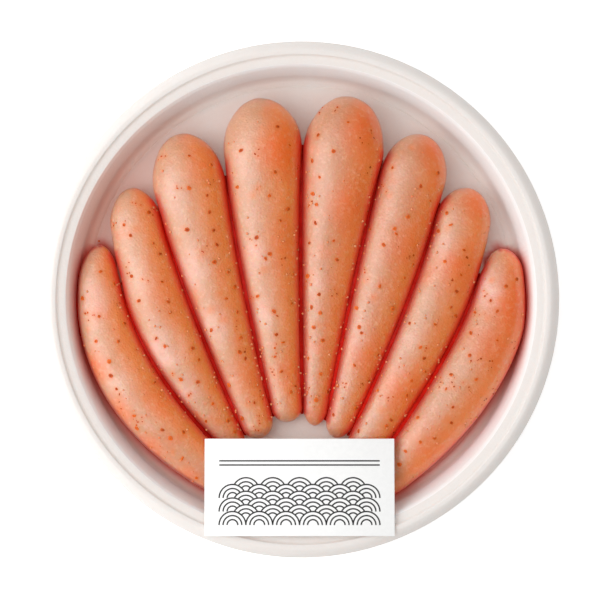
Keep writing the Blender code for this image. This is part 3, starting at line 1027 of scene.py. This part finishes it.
def ink_finish():
    """Black ink, thinner here and there."""
    ink = settings().card.ink
    finish = Finish("black ink", 0.55)
    finish.colour(finish.blend(finish.mottle(0.5 * MM, spread=0.25), ink, scaled(ink, 2.2)))
    finish.relief((finish.mottle(0.3 * MM, spread=0.3), 0.01 * MM))
    return finish.material


def material_named(name, make):
    return bpy.data.materials.get(name) or make()


# Where the small things lie

Place = namedtuple("Place", "point normal along radius squash turn tint")


def under_card(point):
    inside_x = abs(point[0] - CARD_CENTRE_X) < 0.5 * CARD_WIDTH + CARD_FREE
    return inside_x and point[1] < CARD_FAR_Y + CARD_FREE


class SacSurface:
    """A sac's finished skin, to lay small things on."""

    def __init__(self, skins, index):
        self.skin = skins[index]
        self.mesh = bpy.data.objects[skin_name(index)].data
        self.points = coordinates(self.mesh)
        faces = [tuple(face.vertices) for face in self.mesh.polygons]
        self.tree = BVHTree.FromPolygons([Vector(point) for point in self.points], faces)

    def spot(self, share, angle):
        """A point of the skin with its outward normal and its direction along the sac."""
        ahead = share + 0.01
        shares = np.array((share, ahead))
        first, second = (Vector(p) for p in self.skin.points(shares, np.full(2, angle)))
        point, normal, _, _ = self.tree.find_nearest(first)
        along = second - first
        along = (along - normal * along.dot(normal)).normalized()
        return point, normal, along


def skin_name(index):
    return f"roe_sac_{index + 1}_skin"


def drawn_place(surface, share, angle, kind, draw):
    """A place for one small thing, with its size, turn and tint drawn as its kind has them."""
    point, normal, along = surface.spot(share, angle)
    radius = draw.uniform(*kind.radius)
    turn = draw.uniform(0, 2 * math.pi)
    squash = draw.uniform(*kind.squash)
    tint = draw.uniform(*kind.tint)
    return Place(point, normal, along, radius, squash, turn, tint)


def clear_of_card(places):
    return [place for place in places if not under_card(place.point)]


def flake_places(surface, index):
    """The places that the solids' flakes have, by the same seeded draws."""
    draw = random.Random(FLAKE_SEED + index)
    tints = random.Random(FLAKE_SEED - index - 1)
    places = []
    first, last = FLAKE_ENDS
    for step in range(FLAKES_PER_SAC):
        share = first + (last - first) * (step + draw.uniform(*FLAKE_STEP)) / FLAKES_PER_SAC
        angle = 0.5 * math.pi + FLAKE_SPREAD * draw.uniform(-1, 1)
        radius = draw.uniform(*FLAKE.radius)
        turn = draw.uniform(0, 2 * math.pi)
        squash = draw.uniform(*FLAKE.squash)
        point, normal, along = surface.spot(share, angle)
        spaced = all((point - other.point).length > radius + other.radius for other in places)
        if spaced and not under_card(point):
            tint = tints.uniform(*FLAKE.tint)
            places.append(Place(point, normal, along, radius, squash, turn, tint))
    return places


def speck_places(surface, index):
    """Finer chilli between the flakes, in loose clusters."""
    draw = random.Random(SPECK_SEED + index)
    places = []
    for number in range(SPECKS_PER_SAC):
        if number % SPECKS_TOGETHER == 0:
            share = draw.uniform(*SPECK_ENDS)
            angle = 0.5 * math.pi + SPECK_SPREAD * draw.uniform(-1, 1)
        else:
            share += draw.uniform(-SPECK_STEP, SPECK_STEP)
            angle += draw.uniform(-SPECK_TURN, SPECK_TURN)
        places.append(drawn_place(surface, share, angle, SPECK, draw))
    return clear_of_card(places)


def smudge_places(surface, index):
    """Orange smudges where no flake lies any more."""
    draw = random.Random(SMUDGE_SEED + index)
    places = []
    for _ in range(SMUDGES_PER_SAC):
        share = draw.uniform(*SMUDGE_ENDS)
        angle = 0.5 * math.pi + SPECK_SPREAD * draw.uniform(-1, 1)
        radius = draw.uniform(*SMUDGE_RADIUS)
        point, normal, along = surface.spot(share, angle)
        places.append(Place(point, normal, along, radius, 1.0, 0.0, 0.0))
    return places


def grain_places(surface, index):
    """Pale grains: a third of them low on the flanks, most of those on the right one."""
    draw = random.Random(GRAIN_SEED + index)
    places = []
    for number in range(GRAINS_PER_SAC):
        share = GRAIN_START + GRAIN_RUN * draw.random() ** GRAIN_DENSER
        low_down = draw.uniform(*GRAIN_LOW)
        anywhere = draw.uniform(*GRAIN_ANYWHERE)
        side = 1 if draw.random() < GRAIN_RIGHT else -1
        lean = math.radians(anywhere if number % 3 else side * low_down)
        places.append(drawn_place(surface, share, 0.5 * math.pi - lean, GRAIN, draw))
    return clear_of_card(places)


def template(make, seed, roughness):
    """Models one small thing, then takes its points and faces and removes it."""
    start_piece()
    make()
    bpy.ops.object.mode_set(mode="EDIT")
    bpy.ops.mesh.select_all(action="SELECT")
    bpy.ops.transform.vertex_random(offset=roughness, uniform=0.0, normal=0.0, seed=seed)
    bpy.ops.object.mode_set(mode="OBJECT")
    item = bpy.context.object
    points = coordinates(item.data)
    faces = [tuple(face.vertices) for face in item.data.polygons]
    bpy.data.objects.remove(item, do_unlink=True)
    return points, faces


def chip_shape():
    """A flat chip with slanted sides: a short prism, drawn in at the top and crowned."""
    bpy.ops.mesh.primitive_cylinder_add(vertices=CHIP_SIDES, radius=1.0, depth=1.0)
    bpy.ops.object.mode_set(mode="EDIT")
    mesh = bmesh.from_edit_mesh(bpy.context.object.data)
    for face in mesh.faces:
        face.select = face.normal.z > 0.9
    bmesh.update_edit_mesh(bpy.context.object.data)
    bpy.ops.transform.resize(value=(CHIP_TOP, CHIP_TOP, 1.0))
    for thickness in CHIP_INSETS:
        bpy.ops.mesh.inset(thickness=thickness)
        bpy.ops.transform.translate(value=(0.0, 0.0, CHIP_RISE))
    bpy.ops.object.mode_set(mode="OBJECT")


def egg_shape():
    bpy.ops.mesh.primitive_ico_sphere_add(subdivisions=2, radius=1.0)


def scatter(name, templates, places, levels, edge_tint, material):
    """One piece of many copies.

    levels gives how far a copy's bottom and top lie off the skin. edge_tint is how much
    a copy's tint grows from its middle to its edge.
    """
    points, faces, tints = [], [], []
    for number, place in enumerate(places):
        shape, shape_faces = templates[number % len(templates)]
        across = place.normal.cross(place.along)
        flat_x = place.along * math.cos(place.turn) + across * math.sin(place.turn)
        flat_y = place.normal.cross(flat_x)
        bottom, top = levels(place.radius)
        first = len(points)
        rise = (top - bottom) / np.ptp(shape[:, 2])
        edge = ramp(np.hypot(shape[:, 0], shape[:, 1]), *CHIP_MIDDLE)
        for x, y, z in shape:
            level = bottom + rise * (z - shape[:, 2].min())
            flat = flat_x * (x * place.radius) + flat_y * (y * place.radius * place.squash)
            points.append(place.point + flat + place.normal * level)
        tints += list(place.tint + edge_tint * edge)
        faces += [tuple(first + corner for corner in face) for face in shape_faces]
    piece = piece_from(name, points, faces, material)
    store(piece.data, "tint", np.clip(tints, 0.0, 1.0))
    smooth_shading(50)
    return piece


# The operators


class ROE_OT_tray(bpy.types.Operator):
    """Turn the tray from its profile"""

    bl_idname = "roe.tray"
    bl_label = "Tray"

    def execute(self, context):
        self.draw_profile()
        bpy.ops.mesh.select_all(action="SELECT")
        bpy.ops.mesh.spin(
            steps=settings().tray.segments,
            angle=2 * math.pi,
            center=(0.0, 0.0, 0.0),
            axis=(0.0, 0.0, 1.0),
        )
        bpy.ops.mesh.select_all(action="SELECT")
        bpy.ops.mesh.remove_doubles(threshold=0.01 * MM)
        bpy.ops.mesh.normals_make_consistent(inside=False)
        bpy.ops.object.mode_set(mode="OBJECT")
        smooth_shading(60)
        tray = name_piece("tray_board", material_named("tray board", tray_finish))
        self.wander(tray.data)
        self.stain(tray.data)
        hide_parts("tray")
        return {"FINISHED"}

    def draw_profile(self):
        """Draws the cut edge point by point and rounds the bends of the rim."""
        profile = tray_profile()
        start_piece()
        bpy.ops.mesh.primitive_plane_add(size=1 * MM)
        bpy.ops.object.mode_set(mode="EDIT")
        bpy.ops.mesh.merge(type="CENTER")
        bpy.ops.transform.translate(value=(profile[0][0], 0.0, profile[0][1]))
        for (x1, z1), (x2, z2) in zip(profile, profile[1:]):
            step = {"value": (x2 - x1, 0.0, z2 - z1)}
            bpy.ops.mesh.extrude_region_move(TRANSFORM_OT_translate=step)
        mesh = bmesh.from_edit_mesh(bpy.context.object.data)
        for vertex in mesh.verts:
            vertex.select = vertex.co.z > TRAY_HEIGHT - SKIRT_DEPTH - GAP
        bmesh.update_edit_mesh(bpy.context.object.data)
        bpy.ops.mesh.bevel(offset=TRAY_BEVEL, segments=3, affect="VERTICES", clamp_overlap=True)

    def wander(self, mesh):
        """Lets the crease round the floor wander in and out, as on a moulded tray."""
        points = coordinates(mesh)
        radius = np.hypot(points[:, 0], points[:, 1])
        near = 1 - ramp(np.abs(radius - FLOOR_RADIUS + CREASE_WIDTH), 0.0, CREASE_REACH)
        near *= points[:, 2] > UNDERSIDE
        for number in np.flatnonzero(near):
            x, y = points[number, :2] / radius[number]
            wave = noise.noise(Vector((x * CREASE_WAVES, y * CREASE_WAVES, 0.0)))
            drift = wave * CREASE_WANDER * near[number]
            points[number, :2] += np.array((x, y)) * drift
        set_coordinates(mesh, points)

    def stain(self, mesh):
        """Keeps where the inside is painted lighter, the pink tint near the roe that is partly
        stain and partly painted reflection, the painted shade on the left, and where marinade
        ran, which is partly painted shade.
        """
        points = coordinates(mesh)
        away = [SacLine(sac).outline_distance(points[:, :2]) for sac in SACS_MM]
        radius = np.hypot(points[:, 0], points[:, 1])
        inside = radius < wall_radius(points[:, 2]) + INSIDE_MARGIN
        inside &= points[:, 2] > UNDERSIDE
        # The inside is painted lighter from these heights up, and darker near the floor, as
        # painted light and shade
        store(mesh, "wall", inside * ramp(points[:, 2], *BLUSH_FADE))
        low = inside * (1 - ramp(points[:, 2], *BLUSH_FADE))
        blush = low * BLUSH * (1 - ramp(np.min(away, 0), 0.0, BLUSH_REACH))
        # Painted shade, tinted by the roe, growing towards the left and with Y
        left = ramp(-points[:, 0], *LEFT_PAINTED_SHADE_X) * ramp(points[:, 1], *LEFT_PAINTED_SHADE_Y)
        store(mesh, "blush", blush + inside * LEFT_PAINTED_SHADE * left)
        # Marinade run beside the outer sacs, partly painted shade where they meet the wall
        low = inside * (1 - ramp(points[:, 2], *RUN_FADE))
        outer = np.minimum(away[0], away[-1])
        outer = np.where(radius > RUN_INNER, outer, np.inf)
        store(mesh, "run", low * (1 - ramp(outer, *RUN_REACH)))


class ROE_OT_sacs(bpy.types.Operator):
    """Pull each roe sac out of a sphere, press it against its neighbours and lump its skin"""

    bl_idname = "roe.sacs"
    bl_label = "Roe sacs"

    def execute(self, context):
        skins = sac_skins()
        for index in range(len(skins)):
            self.build_sac(skins, index)
        return {"FINISHED"}

    def build_sac(self, skins, index):
        start_piece()
        bpy.ops.mesh.primitive_uv_sphere_add(segments=SKIN_SIDES, ring_count=SKIN_RINGS)
        sac = bpy.context.object
        ball = coordinates(sac.data)
        share = 0.5 * (1 - ball[:, 2])
        angle = np.arctan2(ball[:, 1], ball[:, 0])
        set_coordinates(sac.data, skins[index].points(share, angle))
        # The flank number carries the painted light and shade across the sac, lit on the left and
        # shaded on the right
        store(sac.data, "flank", ramp(np.cos(angle), *LIT_TO_SHADED_FLANK))
        face_outwards()
        apply_modifier(sac, "SUBSURF", levels=1, render_levels=1)
        red = self.groove_red_and_shade(skins, index, coordinates(sac.data))
        self.raise_lumps(sac, index, red)
        store(sac.data, "crevice_red_and_shade", red)
        # Steep sides are painted darker as painted shade; some sacs also keep a deeper tone all
        # over
        side = 1 - ramp(normals(sac.data)[:, 2], *SIDE_SLOPE)
        store(sac.data, "shade", np.maximum(SAC_SHADE[index], SIDE_SHADE * side))
        points = coordinates(sac.data)
        store(sac.data, "patch", self.areas(PATCHES_MM[index + 1], points))
        # Painted highlights on the left flanks, partly milky membrane
        store(sac.data, "painted_milky_highlight", self.areas(MILKY_HIGHLIGHTS_MM[index + 1], points))
        bpy.ops.object.shade_smooth()
        name_piece(skin_name(index), material_named("roe skin", skin_finish))
        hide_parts(f"roe_sac_{index + 1}")

    def groove_red_and_shade(self, skins, index, points):
        """How red the skin is: 1 in a groove, fading up the flanks to 0 in the open. It is partly
        marinade and partly painted shade in the grooves and low down.
        """
        red = LOW_RED * (1 - ramp(points[:, 2], *LOW_RED_FADE))
        share = np.linspace(0.0, 1.0, FILL_STEPS)
        for side, reach in ((1, RIGHT_RED), (-1, LEFT_RED)):
            own, across = groove_sides(skins, index, side, share, np.zeros(FILL_STEPS))
            width = np.linalg.norm((across - own)[:, :2], axis=1)
            line = own + (across - own) * (0.5 * np.minimum(1.0, 2 * GAP / width))[:, None]
            away = np.linalg.norm(points[:, None, :2] - line[None, :, :2], axis=2)
            nearest = away.argmin(1)
            open_at = OPEN_GROOVE
            if not 0 <= index + side < len(skins):
                reach, open_at = WALL_RED, OPEN_WALL
            near = 1 - ramp(away.min(1), *reach)
            red = np.maximum(red, near * (1 - ramp(width[nearest], *open_at)))
        return red

    def raise_lumps(self, sac, index, red):
        """Soft lumps of two sizes along the normals, none where a flank is pressed."""
        points = coordinates(sac.data)
        outwards = normals(sac.data)
        shift = Vector((0.0, 0.0, LUMP_SHIFT * index))
        lift = np.empty(len(points))
        for number, point in enumerate(points):
            wide = noise.noise(Vector(point) * WIDE_LUMPS + shift)
            small = noise.noise(Vector(point) * SMALL_LUMPS + shift)
            lift[number] = wide + SMALL_LUMP_SHARE * small
        lift *= settings().skin.lump_height * (1 - red)
        set_coordinates(sac.data, points + outwards * lift[:, None])

    def areas(self, spots_mm, points):
        """How strongly each point lies in any of some round areas with soft edges."""
        strengths = np.zeros(len(points))
        for x, y, reach, strength in spots_mm:
            away = np.hypot(points[:, 0] - x * MM, points[:, 1] - y * MM)
            strengths = np.maximum(strengths, strength * (1 - ramp(away, 0.0, reach * MM)))
        return strengths


class ROE_OT_marinade(bpy.types.Operator):
    """Fill the grooves between the sacs, and beside the wall, with marinade"""

    bl_idname = "roe.marinade"
    bl_label = "Marinade"

    def execute(self, context):
        skins = sac_skins()
        strips = [self.strip(skins, index, 1) for index in range(len(skins))]
        strips.append(self.strip(skins, 0, -1))
        start_piece()
        for strip in strips:
            strip.select_set(True)
        bpy.context.view_layer.objects.active = strips[0]
        bpy.ops.object.join()
        face_outwards()
        smooth_shading(60)
        name_piece("marinade", material_named("red marinade", marinade_finish))
        return {"FINISHED"}

    def strip(self, skins, index, side):
        """One run of marinade: a grid laid along the groove, then given its depth."""
        widest = GROOVE_FILL if 0 <= index + side < len(skins) else WALL_FILL
        share = np.linspace(*FILL_ENDS, FILL_STEPS)
        widest = widest * (HEAD_FILL + (1 - HEAD_FILL) * ramp(share, *FULL_FILL))
        run = self.longest_run(groove_width(skins, index, side, share, 0 * share) < widest)
        share, widest = share[run], widest[run]
        angle = self.fill_angle(skins, index, side, share, widest)
        own, across = groove_sides(skins, index, side, share, angle)
        start_piece()
        bpy.ops.mesh.primitive_grid_add(
            x_subdivisions=len(share) - 1, y_subdivisions=FILL_ACROSS, size=1.0
        )
        grid = bpy.context.object
        flat = coordinates(grid.data) + 0.5
        row = np.rint(flat[:, 0] * (len(share) - 1)).astype(int)
        part = flat[:, 1] if side > 0 else 1 - flat[:, 1]
        fade = ramp(np.minimum(row, len(share) - 1 - row) / FILL_TAPER, 0.0, 1.0)
        middle = 0.5 * (own[row] + across[row])
        spread = FILL_OVERLAP * (part - 0.5)
        spread *= FILL_END_WIDTH + (1 - FILL_END_WIDTH) * fade
        points = middle + (across[row] - own[row]) * spread[:, None]
        points[:, 2] -= FILL_SAG * (1 - (2 * part - 1) ** 2) + FILL_END_DIP * (1 - fade)
        set_coordinates(grid.data, points)
        apply_modifier(grid, "SOLIDIFY", thickness=FILL_DEPTH, offset=-1.0)
        return grid

    def longest_run(self, narrow):
        """The longest unbroken stretch of a groove that is narrow enough to hold marinade."""
        best, start = (0, 0), None
        for number, good in enumerate(list(narrow) + [False]):
            if good and start is None:
                start = number
            if not good and start is not None:
                best = max(best, (start, number), key=lambda span: span[1] - span[0])
                start = None
        return slice(*best)

    def fill_angle(self, skins, index, side, share, widest):
        """How far up the flank the marinade reaches: to where the groove is widest wide."""
        low = np.zeros_like(share)
        high = np.full_like(share, FILL_HIGHEST)
        for _ in range(FILL_HALVINGS):
            middle = 0.5 * (low + high)
            narrow = groove_width(skins, index, side, share, middle) < widest
            low = np.where(narrow, middle, low)
            high = np.where(narrow, high, middle)
        return low


class ROE_OT_chilli(bpy.types.Operator):
    """Lay chilli flakes and specks on the sacs, where they stain the skin, and on the tray"""

    bl_idname = "roe.chilli"
    bl_label = "Chilli"

    def execute(self, context):
        flakes, specks = [], [self.stray()]
        skins = sac_skins()
        for index in range(len(skins)):
            surface = SacSurface(skins, index)
            own_flakes = flake_places(surface, index)
            own_specks = speck_places(surface, index)
            stained = own_flakes + own_specks + smudge_places(surface, index)
            store(surface.mesh, "stain", self.stains(surface, stained))
            flakes += own_flakes
            specks += own_specks
        chips = [template(chip_shape, seed, CHIP_ROUGHNESS) for seed in CHIP_SEEDS]
        material = material_named("chilli flake", flake_finish)
        scatter("chilli_flakes", chips, flakes, self.flake_levels, FLAKE_EDGE_TINT, material)
        scatter("chilli_specks", chips, specks, self.speck_levels, SPECK_EDGE_TINT, material)
        return {"FINISHED"}

    def flake_levels(self, radius):
        return FLAKE_PROUD - FLAKE_THICKNESS, FLAKE_PROUD

    def speck_levels(self, radius):
        return scaled(SPECK_LEVELS, radius)

    def stray(self):
        """The one speck that lies on the tray."""
        up, along = Vector((0.0, 0.0, 1.0)), Vector((1.0, 0.0, 0.0))
        point = Vector(STRAY_PLACE)
        return Place(point, up, along, STRAY_RADIUS, squash=0.8, turn=0.0, tint=0.5)

    def stains(self, surface, places):
        """Orange round each flake, where its colour has run."""
        tree = KDTree(len(surface.points))
        for number, point in enumerate(surface.points):
            tree.insert(point, number)
        tree.balance()
        stain = np.zeros(len(surface.points))
        for place in places:
            reach = place.radius + STAIN_REACH
            for _, number, distance in tree.find_range(place.point, reach):
                share = STAIN_STRENGTH * (1 - distance / reach)
                stain[number] = max(stain[number], share)
        return stain


class ROE_OT_grains(bpy.types.Operator):
    """Lay pale loose grains along the flanks and tails"""

    bl_idname = "roe.grains"
    bl_label = "Pale grains"

    def execute(self, context):
        skins = sac_skins()
        places = []
        for index in range(len(skins)):
            places += grain_places(SacSurface(skins, index), index)
        eggs = [template(egg_shape, seed, EGG_ROUGHNESS) for seed in EGG_SEEDS]
        material = material_named("pale grain", grain_finish)
        scatter("pale_grains", eggs, places, self.levels, 0.0, material)
        return {"FINISHED"}

    def levels(self, radius):
        return scaled(GRAIN_LEVELS, radius)


class CardPlane:
    """The card's top face: flat points (across, up) in metres from its middle go onto it."""

    def __init__(self):
        low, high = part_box("label_card")
        self.size = high - low
        self.middle = 0.5 * (low + high)
        self.thickness = settings().card.thickness
        self.slope = -(self.size.z - self.thickness) / self.size.y

    def lift(self, points):
        """Moves points that lie about the origin, with the card's top at z = 0, onto it."""
        placed = points + np.array(self.middle)
        placed[:, 2] += self.slope * points[:, 1] + 0.5 * self.thickness
        return placed


class ROE_OT_card(bpy.types.Operator):
    """Cut the card and lean it from the rim onto the sacs' tails"""

    bl_idname = "roe.card"
    bl_label = "Card"

    def execute(self, context):
        plane = CardPlane()
        start_piece()
        bpy.ops.mesh.primitive_cube_add(size=1.0)
        bpy.ops.object.mode_set(mode="EDIT")
        bpy.ops.transform.resize(value=(plane.size.x, plane.size.y, plane.thickness))
        bpy.ops.transform.translate(value=(0.0, 0.0, -0.5 * plane.thickness))
        bpy.ops.mesh.bevel(offset=CARD_EDGE, segments=2)
        bpy.ops.object.mode_set(mode="OBJECT")
        card = bpy.context.object
        set_coordinates(card.data, plane.lift(coordinates(card.data)))
        smooth_shading(30)
        name_piece("card", material_named("white card", paper_finish))
        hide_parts("label_card")
        return {"FINISHED"}


class ROE_OT_print(bpy.types.Operator):
    """Print a band of traditional wave fans on the card, with two rules over it"""

    bl_idname = "roe.print"
    bl_label = "Card print"

    def execute(self, context):
        self.points = []
        self.faces = []
        self.draw_fans()
        width = FAN_COLUMNS * FAN_RADIUS
        for height in RULE_HEIGHTS:
            self.bar(((-width, height), (width, height)), LINE_WIDTH)
        flat = np.column_stack((np.array(self.points), np.full(len(self.points), INK_LIFT)))
        points = CardPlane().lift(flat)
        material = material_named("black ink", ink_finish)
        ink = piece_from("card_print", [tuple(p) for p in points], self.faces, material)
        apply_modifier(ink, "SOLIDIFY", thickness=INK_DEPTH, offset=1.0)
        return {"FINISHED"}

    def bar(self, line, width):
        """A bar along a line of points, as wide as the ink's line."""
        line = np.array(line)
        along = np.gradient(line, axis=0)
        across = np.column_stack((-along[:, 1], along[:, 0]))
        across /= np.linalg.norm(across, axis=1)[:, None]
        first = len(self.points)
        for point, side in zip(line, across):
            self.points.append(point - side * 0.5 * width)
            self.points.append(point + side * 0.5 * width)
        for step in range(len(line) - 1):
            corner = first + 2 * step
            self.faces.append((corner, corner + 2, corner + 3, corner + 1))

    def draw_fans(self):
        centres = {}
        for row in range(FAN_ROWS):
            for column in range(FAN_COLUMNS - row % 2):
                x = (2 * column + 1 + row % 2 - FAN_COLUMNS) * FAN_RADIUS
                centres[row, column] = np.array((x, FAN_BOTTOM + 0.5 * row * FAN_RADIUS))
        for (row, _), centre in centres.items():
            below = [c for (other, _), c in centres.items() if other in (row - 1, row - 2)]
            for share in FAN_ARCS:
                self.draw_arc(centre, share * FAN_RADIUS, below)

    def draw_arc(self, centre, radius, below):
        """The stretches of an arc that the fans below it leave uncovered."""
        stretch = []
        for step in range(FAN_STEPS + 1):
            angle = math.pi * step / FAN_STEPS
            point = centre + radius * np.array((math.cos(angle), math.sin(angle)))
            free = all(np.linalg.norm(point - other) > FAN_RADIUS for other in below)
            if free:
                stretch.append(point)
            if not free or step == FAN_STEPS:
                if len(stretch) > 1:
                    self.bar(stretch, LINE_WIDTH)
                stretch = []


class ROE_OT_stage(bpy.types.Operator):
    """Set the floor, the lights and the camera"""

    bl_idname = "roe.stage"
    bl_label = "Stage"

    def execute(self, context):
        stage = settings().stage
        self.lay_floor(stage)
        self.light(stage)
        self.aim_camera(stage)
        return {"FINISHED"}

    def lay_floor(self, stage):
        """A pale floor that glows a little, so that the tray's shadow on it stays faint."""
        start_piece()
        bpy.ops.mesh.primitive_plane_add(size=STAGE_FLOOR_SIZE)
        floor = bpy.context.object
        floor.name = "floor"
        finish = Finish("pale floor", 0.9, Emission_Strength=STAGE_FLOOR_GLOW)
        finish.fill(finish.shader, Emission_Color=(1.0, 1.0, 1.0))
        finish.colour(stage.floor)
        floor.data.materials.append(finish.material)
        floor.visible_glossy = False

    def light(self, stage):
        """Even light from all round, and two soft boxes on the left."""
        world = bpy.data.worlds.new("even light")
        world.use_nodes = True
        background = world.node_tree.nodes["Background"]
        background.inputs["Color"].default_value = (1.0, 1.0, 1.0, 1.0)
        background.inputs["Strength"].default_value = stage.fill
        world.cycles_visibility.glossy = False
        bpy.context.scene.world = world
        bpy.context.scene.view_settings.view_transform = "Standard"
        self.soft_box("key light", KEY_PLACE, KEY_SIZE, stage.key_power)
        power = stage.overhead_power
        self.soft_box("overhead light", OVERHEAD_PLACE, OVERHEAD_SIZE, power)

    def soft_box(self, name, place, size, power):
        start_piece()
        bpy.ops.object.light_add(type="AREA", location=place)
        lamp = bpy.context.object
        lamp.name = name
        lamp.data.shape = "SQUARE"
        lamp.data.size = size
        lamp.data.energy = power
        lamp.rotation_euler = (-lamp.location).to_track_quat("-Z", "Y").to_euler()

    def aim_camera(self, stage):
        start_piece()
        bpy.ops.object.camera_add(location=(*CAMERA_XY, stage.camera_height))
        camera = bpy.context.object
        camera.rotation_euler = (0.0, 0.0, 0.0)
        camera.data.lens = stage.lens
        camera.data.sensor_width = 36.0
        camera.data.clip_start = 0.01
        bpy.context.scene.camera = camera


class ROE_PT_panel(bpy.types.Panel):
    """Lists the pieces in the order in which they are built, and their settings"""

    bl_idname = "ROE_PT_panel"
    bl_label = "Roe Tray"
    bl_space_type = "VIEW_3D"
    bl_region_type = "UI"
    bl_category = "Roe Tray"

    def draw(self, context):
        layout = self.layout
        for operator in BUILD_ORDER:
            layout.operator(operator.bl_idname)
        for name in ("skin", "chilli", "marinade", "tray", "card", "stage"):
            box = layout.box()
            group = getattr(context.scene.roe_tray, name)
            for key in group.bl_rna.properties.keys():
                if key not in ("rna_type", "name"):
                    box.prop(group, key)


BUILD_ORDER = (
    ROE_OT_tray,
    ROE_OT_sacs,
    ROE_OT_marinade,
    ROE_OT_chilli,
    ROE_OT_grains,
    ROE_OT_card,
    ROE_OT_print,
    ROE_OT_stage,
)
CLASSES = (
    RoeSkinSettings,
    ChilliSettings,
    MarinadeSettings,
    TraySettings,
    CardSettings,
    StageSettings,
    RoeTraySettings,
    *BUILD_ORDER,
    ROE_PT_panel,
)


def register():
    for item in CLASSES:
        bpy.utils.register_class(item)
    bpy.types.Scene.roe_tray = PointerProperty(type=RoeTraySettings)


def unregister():
    del bpy.types.Scene.roe_tray
    for item in reversed(CLASSES):
        bpy.utils.unregister_class(item)


def main():
    register()
    for operator in BUILD_ORDER:
        group, name = operator.bl_idname.split(".")
        getattr(getattr(bpy.ops, group), name)()


if __name__ == "__main__":
    main()
